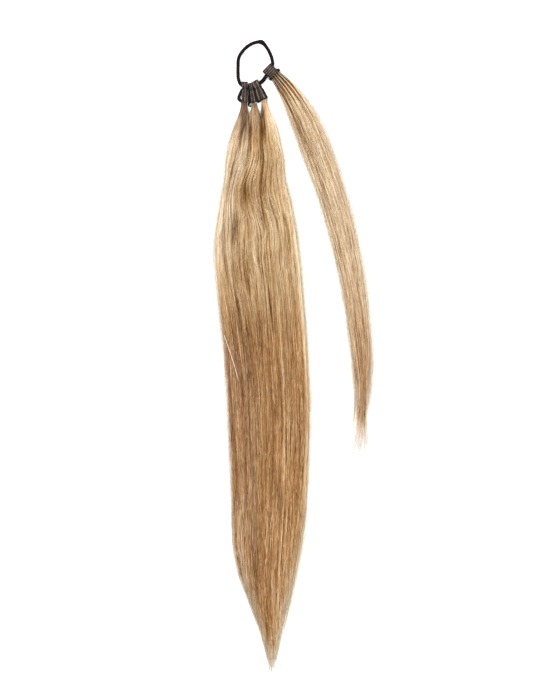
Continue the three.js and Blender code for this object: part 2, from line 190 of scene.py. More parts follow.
def spline(points, closed=False, per=24):
    """Centripetal Catmull-Rom through the points, by length: a function, and the whole length."""
    p = np.asarray(points, float)
    n = len(p)
    out = []
    for i in range(n if closed else n - 1):
        if closed:
            q = [p[(i + k) % n] for k in (-1, 0, 1, 2)]
        else:
            q = [p[i - 1] if i else 2 * p[0] - p[1], p[i], p[i + 1], p[i + 2] if i + 2 < n else 2 * p[-1] - p[-2]]
        t = [0.0]
        for k in range(3):
            t.append(t[-1] + max(np.linalg.norm(q[k + 1] - q[k]) ** 0.5, 1e-6))
        for s in np.linspace(t[1], t[2], per, endpoint=False):
            a1 = (t[1] - s) / (t[1] - t[0]) * q[0] + (s - t[0]) / (t[1] - t[0]) * q[1]
            a2 = (t[2] - s) / (t[2] - t[1]) * q[1] + (s - t[1]) / (t[2] - t[1]) * q[2]
            a3 = (t[3] - s) / (t[3] - t[2]) * q[2] + (s - t[2]) / (t[3] - t[2]) * q[3]
            b1 = (t[2] - s) / (t[2] - t[0]) * a1 + (s - t[0]) / (t[2] - t[0]) * a2
            b2 = (t[3] - s) / (t[3] - t[1]) * a2 + (s - t[1]) / (t[3] - t[1]) * a3
            out.append((t[2] - s) / (t[2] - t[1]) * b1 + (s - t[1]) / (t[2] - t[1]) * b2)
    out.append(p[0] if closed else p[-1])
    out = np.array(out)
    run = np.concatenate([[0], np.cumsum(np.linalg.norm(np.diff(out, axis=0), axis=1))])

    def at(s):
        s = np.asarray(s, float)
        if closed:
            s = s % run[-1]
        return np.stack([np.interp(s, run, out[:, k]) for k in range(out.shape[1])], -1)
    return at, float(run[-1])


def unit(v):
    return v / np.maximum(np.linalg.norm(v, axis=-1, keepdims=True), 1e-9)


def outward(verts, faces):
    """The faces of a closed form, turned so that they face out."""
    volume = 0.0
    for f in faces:
        for k in range(1, f.shape[1] - 1):
            volume += np.sum(verts[f[:, 0]] * np.cross(verts[f[:, k]], verts[f[:, k + 1]]))
    return faces if volume > 0 else [f[:, ::-1] for f in faces]


def joined(parts):
    """Several (verts, faces, attribute) as one: verts, faces of equal width together, attribute."""
    base, by_width, attrs = 0, {}, []
    for v, faces, a in parts:
        for f in faces:
            by_width.setdefault(f.shape[1], []).append(f + base)
        base += len(v)
        attrs.append(a)
    return (np.concatenate([v for v, _, _ in parts]), [np.concatenate(f) for f in by_width.values()], np.concatenate(attrs))


def make(name, verts, faces, materials, attrs=None, uv=None):
    """A mesh object from arrays, in metres. faces is a list of index arrays of one width each; uv follows their corners."""
    me = bpy.data.meshes.new(name)
    verts = np.ascontiguousarray(np.asarray(verts, np.float32) * MM)
    loops = np.concatenate([np.asarray(f).ravel() for f in faces]).astype(np.int32)
    totals = np.concatenate([np.full(len(f), np.asarray(f).shape[1]) for f in faces]).astype(np.int32)
    me.vertices.add(len(verts))
    me.vertices.foreach_set("co", verts.ravel())
    me.loops.add(len(loops))
    me.loops.foreach_set("vertex_index", loops)
    me.polygons.add(len(totals))
    me.polygons.foreach_set("loop_start", np.concatenate([[0], np.cumsum(totals)[:-1]]).astype(np.int32))
    me.polygons.foreach_set("use_smooth", np.ones(len(totals), bool))
    if uv is not None:
        layer = me.uv_layers.new(name="OFBake")
        layer.data.foreach_set("uv", np.ascontiguousarray(uv, np.float32).ravel())
    for key, value in (attrs or {}).items():
        value = np.asarray(value, np.float32)
        rgba = np.ones((len(verts), 4), np.float32)
        rgba[:, : value.shape[1]] = value
        layer = me.attributes.new(key, "FLOAT_COLOR", "POINT")
        layer.data.foreach_set("color", np.ascontiguousarray(rgba).ravel())
    me.update(calc_edges=True)
    me.validate()
    ob = bpy.data.objects.new(name, me)
    bpy.context.scene.collection.objects.link(ob)
    for m in materials:
        me.materials.append(m)
    return ob


def ringed(paths, sides, roll, closed=False):
    t = np.empty_like(paths)
    if closed:
        t = np.roll(paths, -1, 1) - np.roll(paths, 1, 1)
    else:
        t[:, 1:-1] = paths[:, 2:] - paths[:, :-2]
        t[:, 0] = paths[:, 1] - paths[:, 0]
        t[:, -1] = paths[:, -1] - paths[:, -2]
    t = unit(t)
    up = np.zeros_like(t)
    up[..., 2] = 1
    up[np.abs(t[..., 2]) > 0.97] = (0, 1, 0)
    side = unit(np.cross(t, up))
    top = np.cross(side, t)
    ang = (2 * np.pi * np.arange(sides) / sides)[None, None, :] + roll
    return side[:, :, None, :] * np.cos(ang)[..., None] + top[:, :, None, :] * np.sin(ang)[..., None]


def tubes(paths, radius, sides, roll=0.0):
    """Closed tubes along paths (N, S, 3) with radius (N, S): vertices, quads, end caps."""
    n, s, _ = paths.shape
    verts = paths[:, :, None, :] + ringed(paths, sides, roll) * radius[:, :, None, None]
    base = (np.arange(n) * s * sides)[:, None, None]
    ring = (np.arange(s - 1) * sides)[None, :, None]
    k = np.arange(sides)[None, None, :]
    k2 = (k + 1) % sides
    q = np.stack([base + ring + k, base + ring + sides + k, base + ring + sides + k2, base + ring + k2], -1)
    first = base[:, 0] + np.arange(sides)[None, :]
    last = base[:, 0] + (s - 1) * sides + np.arange(sides)[::-1][None, :]
    return verts.reshape(-1, 3), q.reshape(-1, 4), np.concatenate([first, last])


def closed_tubes(paths, radius, sides, roll=0.0):
    """Tubes along closed paths (N, S, 3), with no ends."""
    n, s, _ = paths.shape
    verts = paths[:, :, None, :] + ringed(paths, sides, roll, True) * np.broadcast_to(radius, (n, s))[:, :, None, None]
    base = (np.arange(n) * s * sides)[:, None, None]
    at = (np.arange(s) * sides)[None, :, None]
    nxt = (((np.arange(s) + 1) % s) * sides)[None, :, None]
    k = np.arange(sides)[None, None, :]
    k2 = (k + 1) % sides
    q = np.stack([base + at + k, base + nxt + k, base + nxt + k2, base + at + k2], -1)
    return verts.reshape(-1, 3), q.reshape(-1, 4)


# -------------------------------------------------------------- materials --
DYE = 0.755  # colours are given as seen under the strong light, and set darker by this


def srgb(r, g, b):
    return tuple(DYE * (c / 12.92 if c <= 0.04045 else ((c + 0.055) / 1.055) ** 2.4) for c in (r / 255, g / 255, b / 255)) + (1.0,)


def material(name, rough, specular=0.5, sheen=0.0, sheen_rough=0.4):
    m = bpy.data.materials.new(name)
    m.use_nodes = True
    b = m.node_tree.nodes["Principled BSDF"]
    b.inputs["Roughness"].default_value = rough
    b.inputs["Specular IOR Level"].default_value = specular
    if sheen:
        b.inputs["Sheen Weight"].default_value = sheen
        b.inputs["Sheen Roughness"].default_value = sheen_rough
    return m, m.node_tree, b


def ramp(tree, stops, link):
    node = tree.nodes.new("ShaderNodeValToRGB")
    r = node.color_ramp
    while len(r.elements) < len(stops):
        r.elements.new(0.5)
    for e, (pos, colour) in zip(r.elements, stops):
        e.position = pos
        e.color = colour
    tree.links.new(link, node.inputs["Fac"])
    return node.outputs["Color"]


def value_ramp(tree, link, x0, x1, y0, y1):
    node = tree.nodes.new("ShaderNodeMapRange")
    node.interpolation_type = "SMOOTHSTEP"
    node.inputs["From Min"].default_value = x0
    node.inputs["From Max"].default_value = x1
    node.inputs["To Min"].default_value = y0
    node.inputs["To Max"].default_value = y1
    tree.links.new(link, node.inputs["Value"])
    return node.outputs["Result"]


def noise(tree, scale, detail=3.0, stretch=(1, 1, 1), rough=0.55):
    tc = tree.nodes.new("ShaderNodeTexCoord")
    mp = tree.nodes.new("ShaderNodeMapping")
    mp.inputs["Scale"].default_value = stretch
    nz = tree.nodes.new("ShaderNodeTexNoise")
    nz.inputs["Scale"].default_value = scale
    nz.inputs["Detail"].default_value = detail
    nz.inputs["Roughness"].default_value = rough
    tree.links.new(tc.outputs["Object"], mp.inputs["Vector"])
    tree.links.new(mp.outputs["Vector"], nz.inputs["Vector"])
    return nz.outputs["Fac"]


def mix(tree, kind, fac, a, b):
    node = tree.nodes.new("ShaderNodeMix")
    node.data_type = "RGBA"
    node.blend_type = kind
    for socket, given in ((node.inputs[0], fac), (node.inputs[6], a), (node.inputs[7], b)):
        if hasattr(given, "is_linked"):
            tree.links.new(given, socket)
        else:
            socket.default_value = given
    return node.outputs[2]


def attribute(tree, name):
    at = tree.nodes.new("ShaderNodeAttribute")
    at.attribute_name = name
    sep = tree.nodes.new("ShaderNodeSeparateColor")
    tree.links.new(at.outputs["Color"], sep.inputs["Color"])
    return sep.outputs["Red"], sep.outputs["Green"], sep.outputs["Blue"], at.outputs["Alpha"]


def grey(tree, link):
    node = tree.nodes.new("ShaderNodeCombineColor")
    for k in ("Red", "Green", "Blue"):
        tree.links.new(link, node.inputs[k])
    return node.outputs["Color"]


# Hair: red is the strand's shade, green the share of the browner tones of the
# lower length, blue how open to the light the place is (painted shade: deeper hairs, partings, roots in the stitching,
# the gaps at the wrap hank's root and the core are darkened by it), and alpha how ashen (or warm, below 0). Short
# flecks run
# along the hair: "flow" is the place across it and along it.
hair_mat, nt, bsdf = material("hair_fibre", 0.48, 0.12)
shade, lower, painted_lit_input, ash = attribute(nt, "strand")
at = nt.nodes.new("ShaderNodeAttribute")
at.attribute_name = "flow"
sway_at = nt.nodes.new("ShaderNodeMapping")  # the lower length is a little crimped
sway_at.inputs["Scale"].default_value = (0.08, 0.028, 0.2)
nt.links.new(at.outputs["Vector"], sway_at.inputs["Vector"])
sway = nt.nodes.new("ShaderNodeTexNoise")
sway.inputs["Scale"].default_value = 1.0
sway.inputs["Detail"].default_value = 1.0
nt.links.new(sway_at.outputs["Vector"], sway.inputs["Vector"])
sway_by = nt.nodes.new("ShaderNodeMath")
sway_by.operation = "MULTIPLY"
nt.links.new(value_ramp(nt, sway.outputs["Fac"], 0.0, 1.0, -1.1, 1.1), sway_by.inputs[0])
nt.links.new(value_ramp(nt, lower, 0.0, 1.0, 0.25, 1.0), sway_by.inputs[1])
sway_to = nt.nodes.new("ShaderNodeCombineXYZ")
nt.links.new(sway_by.outputs[0], sway_to.inputs["X"])
swayed = nt.nodes.new("ShaderNodeVectorMath")
swayed.operation = "ADD"
nt.links.new(at.outputs["Vector"], swayed.inputs[0])
nt.links.new(sway_to.outputs[0], swayed.inputs[1])
shades = [shade]
for stretch, detail, high, amount in (((0.5, 0.010, 1.0), 2.0, 0.5, 0.42), ((2.4, 0.018, 1.7), 1.0, 0.8, 0.6), ((2.7, 0.10, 2.3), 1.0, 0.75, 0.4),
                                      ((1.9, 0.007, 2.9), 1.0, 0.0, 1.4), ((1.7, 0.22, 3.7), 1.0, 0.0, 0.65)):
    mp = nt.nodes.new("ShaderNodeMapping")
    mp.inputs["Scale"].default_value = stretch
    nz = nt.nodes.new("ShaderNodeTexNoise")
    nz.inputs["Scale"].default_value = 1.0
    nz.inputs["Detail"].default_value = detail
    nt.links.new(swayed.outputs[0], mp.inputs["Vector"])
    nt.links.new(mp.outputs["Vector"], nz.inputs["Vector"])
    low = nt.nodes.new("ShaderNodeMath")
    low.operation = "SUBTRACT"
    low.inputs[1].default_value = 0.5
    nt.links.new(nz.outputs["Fac"], low.inputs[0])
    add = nt.nodes.new("ShaderNodeMath")
    add.operation = "MULTIPLY_ADD"
    nt.links.new(low.outputs[0], add.inputs[0])
    nt.links.new(value_ramp(nt, lower, 0.0, 1.0, high, amount), add.inputs[1])
    nt.links.new(shades[-1], add.inputs[2])
    shades.append(add.outputs[0])
pale = ramp(nt, [(0.0, srgb(104, 67, 27)), (0.26, srgb(173, 130, 80)), (0.55, srgb(212, 179, 136)),
                 (0.8, srgb(234, 208, 168)), (1.0, srgb(246, 232, 206))], shades[-1])
tan = ramp(nt, [(0.0, srgb(97, 60, 25)), (0.3, srgb(153, 106, 60)), (0.58, srgb(186, 139, 89)),
                (0.82, srgb(215, 174, 124)), (1.0, srgb(238, 213, 176))], shades[-1])
both = mix(nt, "MIX", lower, pale, tan)
hue = nt.nodes.new("ShaderNodeHueSaturation")
nt.links.new(both, hue.inputs["Color"])
nt.links.new(value_ramp(nt, ash, -1.0, 1.0, 1.28, 0.72), hue.inputs["Saturation"])
end_hue = nt.nodes.new("ShaderNodeHueSaturation")  # the thinnest ends lose more of their colour
nt.links.new(hue.outputs["Color"], end_hue.inputs["Color"])
nt.links.new(value_ramp(nt, ash, 1.0, 2.0, 1.0, 0.6), end_hue.inputs["Saturation"])
both = end_hue.outputs["Color"]
# painted shade: places less open to the light are darkened towards a warm brown
both = mix(nt, "MULTIPLY", 1.0, both, ramp(nt, [(0.0, (0, 0, 0, 1)), (0.5, (0.52, 0.46, 0.39, 1)), (1.0, (1, 1, 1, 1))], painted_lit_input))
nt.links.new(both, bsdf.inputs["Base Color"])

# Braided cover of the elastic: red is the yarn's own shade.
elastic_mat, nt, bsdf = material("elastic_braid", 0.5, 0.05)
yarn = attribute(nt, "yarn")[0]
base = ramp(nt, [(0.0, srgb(6, 3, 3)), (0.5, srgb(17, 9, 10)), (1.0, srgb(44, 30, 31))], yarn)
lint = value_ramp(nt, noise(nt, 900.0, 4.0), 0.3, 0.75, 0.7, 1.25)
base = mix(nt, "MULTIPLY", 1.0, base, grey(nt, lint))
nt.links.new(base, bsdf.inputs["Base Color"])

# Ribbed ribbon: red is painted light from the height on rib and pleat, crests lighter and hollows darker; green is
# darker towards the edges, with painted shade at the pinch below the cord and a painted highlight on the roof over it.
ribbon_mat, nt, bsdf = material("ribbed_ribbon", 0.75, 0.10)
rib, cloth_light_and_edges = attribute(nt, "cloth")[:2]
base = ramp(nt, [(0.0, srgb(16, 12, 11)), (0.45, srgb(58, 49, 44)), (1.0, srgb(126, 111, 101))], rib)
blotch = value_ramp(nt, noise(nt, 520.0, 3.0), 0.3, 0.7, 0.55, 1.3)
base = mix(nt, "MULTIPLY", 1.0, base, grey(nt, blotch))
base = mix(nt, "MULTIPLY", 1.0, base, grey(nt, cloth_light_and_edges))
nt.links.new(base, bsdf.inputs["Base Color"])
bump = nt.nodes.new("ShaderNodeBump")
bump.inputs["Strength"].default_value = 0.35
bump.inputs["Distance"].default_value = 0.0001
nt.links.new(noise(nt, 2600.0, 2.0), bump.inputs["Height"])
nt.links.new(bump.outputs["Normal"], bsdf.inputs["Normal"])

# Sewing thread of the weft heads and the stitches.
thread_mat, nt, bsdf = material("weft_thread", 0.55, 0.12)
yarn = attribute(nt, "yarn")[0]
base = ramp(nt, [(0.0, srgb(8, 8, 8)), (0.6, srgb(24, 21, 20)), (1.0, srgb(50, 47, 43))], yarn)
lint = value_ramp(nt, noise(nt, 1100.0, 3.0), 0.3, 0.75, 0.75, 1.2)
base = mix(nt, "MULTIPLY", 1.0, base, grey(nt, lint))
nt.links.new(base, bsdf.inputs["Base Color"])


# ------------------------------------------------------------------- hair --
tail_at = {name: hermite(TAIL[:, 0], TAIL[:, i]) for i, name in enumerate(TAIL_COLUMNS)}


def dome(v):
    return 0.1 + 0.9 * np.power(np.maximum(0, 1 - np.power(np.minimum(np.abs(v), 1), 2.6)), 0.62)


class TailHank:
    """Places in one hank of the tail: d down from the loop's middle, u across from -1 to 1, v from floor to top."""

    def __init__(self, name, side_a, side_b, gap_a, gap_b):
        self.root = ROOTS[name]
        self.side_a, self.side_b, self.gap_a, self.gap_b = side_a, side_b, gap_a, gap_b
        self.end = TAIL[-1, 0]

    def start(self, u):
        ax, ad, bx, bd = self.root
        return ad + (bd - ad) * (u + 1) / 2

    def width(self, d):
        return tail_at[self.side_b](d) - tail_at[self.side_a](d)

    def place(self, d, u, v):
        ax, ad, bx, bd = self.root
        left, right = tail_at["left"](d), tail_at["right"](d)
        a = tail_at[self.side_a](d) + self.gap_a
        b = tail_at[self.side_b](d) - self.gap_b
        x = a + (b - a) * (u + 1) / 2
        whole = dome((x - (left + right) / 2) * 2 / (right - left))
        top = tail_at["height"](d) * whole * (1 - tail_at["groove"](d) * (1 - 0.3 - 0.35 * smooth(56, 105, d)) * np.power(np.minimum(np.abs(u), 1), 3.2))
        w = smooth(0, 1, (d - self.start(u)) / (51 - self.start(u)))
        rx = ax + (bx - ax) * (u + 1) / 2
        rtop = ROOT_H * (0.45 + 0.55 * dome(u))
        px = rx + (x - rx) * w
        z = (ROOT_FOOT + (rtop - ROOT_FOOT) * v) * (1 - w) + top * v * w
        return np.stack([px, -d, z], -1)


wrap_line, WRAP_LEN = spline(np.stack([WRAP[:, 0], -WRAP[:, 1]], -1))
_run = np.linspace(0, WRAP_LEN, 900)
_down = -wrap_line(_run)[:, 1]


def run_of(down):
    return np.interp(down, _down, _run)


wrap_width = hermite(run_of(WRAP[:, 1]), WRAP[:, 2])
wrap_height = hermite(run_of(WRAP[:, 1]), WRAP[:, 3])


class WrapHank:
    """The same for the wrap hank, with d along its own middle line."""
    end = WRAP_LEN

    def start(self, u):
        return np.zeros_like(u)

    def width(self, d):
        return wrap_width(d)

    def place(self, d, u, v):
        held = np.clip(d, 0, WRAP_LEN)
        t = unit(wrap_line(np.clip(held + 1.5, 0, WRAP_LEN)) - wrap_line(np.clip(held - 1.5, 0, WRAP_LEN)))
        p = wrap_line(held) + t * (d - held)[..., None]
        n = np.stack([-t[..., 1], t[..., 0]], -1)
        xy = p + n * (wrap_width(held) / 2 * u)[..., None]
        top = wrap_height(held) * dome(u)
        w = smooth(0, 14, d)
        rtop = ROOT_H * (0.45 + 0.55 * dome(u))
        z = (ROOT_FOOT + (rtop - ROOT_FOOT) * v) * (1 - w) + top * v * w
        return np.concatenate([xy, z[..., None]], -1)


HANKS = {
    "hair_left": TailHank("hair_left", "left", "cut_left", 0, HANK_GAP / 2),
    "hair_middle": TailHank("hair_middle", "cut_left", "cut_right", HANK_GAP / 2, HANK_GAP / 2),
    "hair_right": TailHank("hair_right", "cut_right", "right", HANK_GAP / 2, 0),
    "hair_side": WrapHank(),
}
OUTER = {"hair_left": (-1,), "hair_middle": (), "hair_right": (1,), "hair_side": (-1, 1)}

STEPS = 36  # rings along a strand, closer together in the wavy upper part
_i = np.arange(STEPS)
TAU_TAIL = np.interp(_i, [0, 3, 23, STEPS - 1], [0, 0.03, 0.40, 1.0])
TAU_WRAP = np.interp(_i, [0, 5, STEPS - 1], [0, 0.07, 1.0])


def sines(rng, n, low, high):
    """The makings of n slow wanders: wave lengths and phases."""
    return rng.uniform(low, high, (n, 2)), rng.uniform(0, 2 * np.pi, (n, 2))


def wander(makings, rows, d):
    length, phase = makings
    a = np.sin(2 * np.pi * d / length[rows, 0][:, None] + phase[rows, 0][:, None])
    b = np.sin(2 * np.pi * d / (0.63 * length[rows, 1][:, None]) + phase[rows, 1][:, None])
    return 0.65 * a + 0.35 * b


def lines_near(table, x, d):
    """How near a place is to the lines of a table, times their amounts."""
    total = np.zeros_like(x)
    for half, amount, line in table:
        line = np.array(line, float)
        at = np.interp(d, line[:, 1], line[:, 0])
        ends = smooth(line[0, 1] - 5, line[0, 1] + 4, d) * (1 - smooth(line[-1, 1] - 8, line[-1, 1] + 10, d))
        total = np.maximum(total, amount * ends * np.exp(-((x - at) / half) ** 2))
    return total


def tones(x, d):
    return sum(amount * np.exp(-((x - x0) / half) ** 2 - ((d - d0) / tall) ** 2) for x0, d0, half, tall, amount in TONES)


def sweep(x, d):
    """The upper hair of the tail's left side is drawn to the left, and its middle waves."""
    left = tail_at["left"](d)
    drawn = -7.0 * smooth(58, 122, d) * (1 - smooth(170, 330, d)) * smooth(0, 13, x - left) * (1 - smooth(-9, 9, x))
    wave = 2.6 * np.cos(2 * np.pi * (d - 92) / 78) * smooth(70, 92, d) * (1 - smooth(140, 215, d)) * np.clip(1 - ((x - 4) / 29) ** 2, 0, 1)
    return drawn + wave


def hank_strands(name, hank, count, locks, rng):
    """Strand paths (count, STEPS, 3), radii and the strand and flow attributes."""
    side = name == "hair_side"
    outer = OUTER[name]
    inner = () if side else tuple(w for w in (-1, 1) if w not in outer)
    tau = (TAU_WRAP if side else TAU_TAIL)[None, :]
    edge = 0.85 if side else 0.86
    low_u, high_u = (-edge if -1 in outer else -1.0), (edge if 1 in outer else 1.0)

    # Locks: where each lies in the section, its shade and its waves. Half of them lie under the others.
    lock_u = np.concatenate([np.linspace(low_u, high_u, locks)] * 2) + rng.normal(0, 0.5 / locks, 2 * locks)
    lock_u = np.clip(lock_u, low_u, high_u)
    lock_v = np.concatenate([rng.uniform(0.93, 0.985, locks), rng.uniform(0.80, 0.93, locks)])
    lock_shade = rng.normal(0, 1, 2 * locks)
    lock_side, lock_rise = sines(rng, 2 * locks, 80, 180), sines(rng, 2 * locks, 70, 150)
    lock_tint, lock_curl = sines(rng, 2 * locks, 70, 220), sines(rng, 2 * locks, 48, 66)

    own = rng.integers(0, 2 * locks, count)
    fringe = np.arange(count) < 60 * len(outer)
    deep = ~fringe & (rng.random(count) < 0.08)
    way = rng.choice(outer, count) if outer else np.zeros(count)
    u = np.clip(lock_u[own] + rng.normal(0, 0.9 / locks, count), low_u - 0.02, high_u + 0.02)
    v = np.minimum(lock_v[own] + rng.normal(0, 0.025, count), 1.0)
    v = np.where(deep, rng.uniform(0.15, 0.8, count), v)
    u = np.where(fringe, way * (edge - 0.02), u)
    v = np.where(fringe, rng.uniform(0.08, 0.9, count), v)
    far = np.where(rng.random(count) < 0.3, rng.uniform(1.0, 6.0, count), rng.exponential(1.5 if side else 1.05, count))
    reach = np.where(fringe, way * np.minimum(far, 6.0), 0)
    beside = np.max([w * u for w in outer], 0) if outer else np.full(count, -1.0)
    calm = 1 - 0.85 * smooth(0.5, 0.84, beside)
    seam = smooth(0.70, 0.98, np.max([w * u for w in inner], 0)) if inner else np.zeros(count)
    cross = rng.normal(0, 1.7, count) * seam

    # Ends: the tip is made of fewer and fewer hairs.
    luck = rng.random(count)
    if side:
        low = np.interp(luck, [0, 0.1, 0.30, 0.54, 0.76, 0.90, 0.97, 1.0], [290, 312, 330, 342, 351, 358, 365, 380])
        low = low + 2 * u - 110 * rng.random(count) * np.clip(np.abs(u) - 0.42, 0, 0.5) * ~fringe
        stop = run_of(np.minimum(low, 396)) + np.maximum(low - 396, 0)
    else:
        stop = np.interp(luck, [0, 0.05, 0.28, 0.52, 0.72, 0.86, 0.94, 0.98, 1.0], [430, 500, 545, 568, 585, 597, 604, 609, 615])
    begin = hank.start(np.clip(u, -1, 1)) - (2.9 + 1.2 * u if side else 0.9)

    hold = np.where(rng.random(count) < 0.22, 0.05, rng.uniform(0.15, 0.72, count)) * (1 - 0.8 * smooth(0.72, 0.84, beside))
    past = np.where(fringe, rng.normal(0.4, 0.8, count) + np.minimum(far, 4) * np.where(way > 0, 1.0, 0.5), rng.normal(0, 1.6, count))
    inset = np.where(fringe, 0.0, rng.random(count) ** 0.4)
    drift = rng.normal(0, 0.03, count) * calm
    own_side, own_one = sines(rng, count, 36, 120), np.arange(count)
    own_size = np.where(fringe, rng.uniform(0.2, 0.7, count), np.abs(rng.normal(0, 0.28, count)) + 0.08)
    end_bend = rng.normal(0, 0.6, count)

    def path(d):
        b = begin[:, None]
        # Roots come out of the stitching in clumps and merge further on.
        clumps, near, pull = (6, 56, 0.72) if side else (4, 18, 0.34)
        centre = (np.floor((np.clip(u, -0.999, 0.999) + 1) / 2 * clumps) + 0.5) / clumps * 2 - 1
        uu = u[:, None] + (centre - u)[:, None] * pull * (1 - smooth(0, near, d - b))
        uu = uu + drift[:, None] * smooth(90, 380, d)
        if side:
            uu = uu * (1 + 0.16 * (1 - smooth(0, 26, d))) * (1 - np.where(fringe, 0.05, 0.2)[:, None] * smooth(run_of(255), run_of(320), d)) * (1 + 1.5 * smooth(run_of(342), run_of(394), d))
        rise = 0.055 * wander(lock_rise, own, d) * smooth(40, 90, d)
        vv = np.clip(v[:, None] + np.where(fringe, 0, 1)[:, None] * rise, 0.02, 1.03)
        p = hank.place(d, uu, vv)
        room = np.clip(hank.width(np.clip(d, 0 if side else TAIL[0, 0], hank.end)) / 22, 0.12, 1)
        room = room * smooth(-2, 60, d - b)
        if not side:  # the fringe keeps its reach along the taper
            room = np.where(fringe[:, None], np.maximum(room, 0.75 * smooth(450, 500, d)), room)
        if side:
            upper = smooth(20, 70, d) * (0.4 + 0.6 * (1 - smooth(120, 260, d)))
        else:
            upper = smooth(48, 80, d) * (1 - smooth(170, 290, d))
        shift = ((wander(lock_side, own, d) * 0.8 + wander(lock_curl, own, d) * (0.1 + 0.45 * upper)) * calm[:, None]
                 + wander(own_side, own_one, d) * own_size[:, None] + reach[:, None])
        p[..., 0] += shift * room
        if side:
            p[..., 0] -= (2.4 * np.clip(-uu, 0, 1) + 1.4) * smooth(run_of(334), run_of(372), d)
        if not side:
            p[..., 0] += cross[:, None] * smooth(52, 125, d)
            if name == "hair_left":
                p[..., 0] += 1.6 * smooth(250, 290, d) * (1 - smooth(440, 490, d)) * smooth(0.3, 0.84, -u)[:, None]
            p[..., 0] += sweep(p[..., 0], d) * smooth(0.5, 0.8, v)[:, None] * np.where(fringe, 0, 1)[:, None]
            p[..., 2] += 0.5 * upper * room * np.sin(2 * np.pi * d / 52 + 0.16 * p[..., 0]) * smooth(0.6, 0.9, v)[:, None]
            dark = lines_near(PARTINGS, p[..., 0], d)
            p[..., 2] -= 2.0 * dark * np.clip(tail_at["height"](d) / 12, 0.2, 1) * smooth(0.5, 0.9, v)[:, None]
        return p

    if not side:
        # Towards the tip a hair holds its own line, and ends where it leaves the taper.
        def tapered(d, p):
            at = np.full((count, 1), 452.0)
            here, before = path(at)[..., 0], path(at - 40)[..., 0]
            line = here + (here - before) / 40 * (d - 452)
            p = p.copy()
            p[..., 0] += np.where(d > 452, hold[:, None] * (line - p[..., 0]), 0)
            return p
        d = np.repeat(np.linspace(455, 604, 75)[None], count, 0)
        x = tapered(d, path(d))[..., 0]
        span = tail_at["right"](d) - tail_at["left"](d)
        free = 1 - smooth(555, 588, d)
        keep = past[:, None] * (0.3 + 0.7 * free) - inset[:, None] * free * np.minimum(4.2, 0.12 * span)
        keep_right = past[:, None] * (0.3 + 0.7 * free) - inset[:, None] * free * np.minimum(5.2, 0.15 * span)
        out = (x < tail_at["left"](d) - keep) | (x > tail_at["right"](d) + keep_right)
        first = np.where(out.any(1), d[own_one, out.argmax(1)], 999)
        stop = np.minimum(stop, np.maximum(first, 459) + rng.uniform(-2, 5, count))
    d = begin[:, None] + (stop - begin)[:, None] * tau
    p = path(d)
    if not side:
        p = tapered(d, p)
    p[..., 0] += smooth(0.9, 1.0, tau) * end_bend[:, None]
    p[..., 2] = np.maximum(p[..., 2], 0.14)

    thick = np.where(fringe, rng.uniform(0.045, 0.075, count), rng.uniform(0.095, 0.14, count))
    radius = thick[:, None] * (1 - 0.78 * smooth(0.92, 1.0, tau)) * np.ones_like(d)

    # Shade: the lock's, the hair's own, and the lines of partings (painted shade) and gleams.
    tone = {"hair_left": 0.49, "hair_middle": 0.46, "hair_right": 0.51, "hair_side": 0.54}[name]
    tone = tone + {"hair_middle": 0.065, "hair_side": 0.08}.get(name, 0.085) * lock_shade[own]
    tone = tone + rng.normal(0, 0.15 if side else 0.12, count)
    extreme = rng.random(count)
    tone = tone - 0.15 * (extreme < 0.08) + 0.12 * (extreme > 0.92)
    # the fringe is painted paler and fully open to the light: painted light on thin hair against the pale floor
    shade = tone[:, None] + (0.075 - 0.03 * smooth(280, 400, d)) * wander(lock_tint, own, d) + fringe[:, None] * (0.20 if side else 0.20 - 0.10 * smooth(330, 450, d))
    # painted shade: hairs lower in the hank are less open to the light, so darker
    painted_lit_share = np.ones_like(d) * (0.74 + 0.26 * smooth(0.3, 0.95, v))[:, None]
    painted_lit_share = np.where(fringe[:, None], 1.0, painted_lit_share)
    from_root = d - begin[:, None]
    across = u[:, None]
    if side:
        brown = 0.62 * smooth(205, 330, d)
        # painted light and shade at the root: the clumps are painted lighter and the gaps between them darker
        gap = np.abs(((np.clip(across, -0.999, 0.999) + 1) / 2 * 6) % 1 - 0.5) * 2
        shade = shade + (0.18 - (0.42 + 0.3 * (1 - smooth(12, 40, d))) * smooth(0.3, 0.9, gap)) * (1 - smooth(20, 95, d))
        shade = shade - 0.34 * np.exp(-((across + 0.60) / 0.28) ** 2) * (1 - smooth(45, 105, d)) - 0.20 * (1 - smooth(8, 40, d)) - 0.07 * smooth(30, 50, d) * (1 - smooth(75, 120, d))
        shade = shade + 0.12 * smooth(0.45, 0.8, -across) * smooth(50, 80, d) * (1 - smooth(95, 130, d))
        shade = shade + (0.22 * smooth(0.35, 0.8, -across) + 0.16 * smooth(0.6, 0.85, across)) * smooth(230, 300, d)
        shade = shade + 0.05 * smooth(-0.2, 0.5, across) * (1 - smooth(80, 150, d)) + 0.06 * smooth(0.3, 0.8, across) * smooth(110, 150, d)
        shade = shade - 0.06 * np.exp(-((across + 0.5) / 0.3) ** 2) * smooth(60, 100, d) * (1 - smooth(200, 260, d))
        shade = shade + 0.05 - 0.18 * smooth(190, 290, d) + 0.16 * smooth(run_of(305), run_of(340), d) + 0.36 * smooth(run_of(346), run_of(370), d) + (0.2 * smooth(0.45, 0.85, np.abs(across)) - 0.10) * smooth(run_of(300), run_of(345), d)
        # painted shade: less open to the light at the roots in the stitching and in the gaps between the clumps
        painted_lit_share = painted_lit_share * (1 - 0.4 * (1 - smooth(1, 7, from_root))) * (1 - 0.75 * smooth(0.45, 0.9, gap) * (1 - smooth(4, 17, d)))
    else:
        brown = smooth(195, 300, d) * (1 - 0.75 * smooth(555, 595, d))
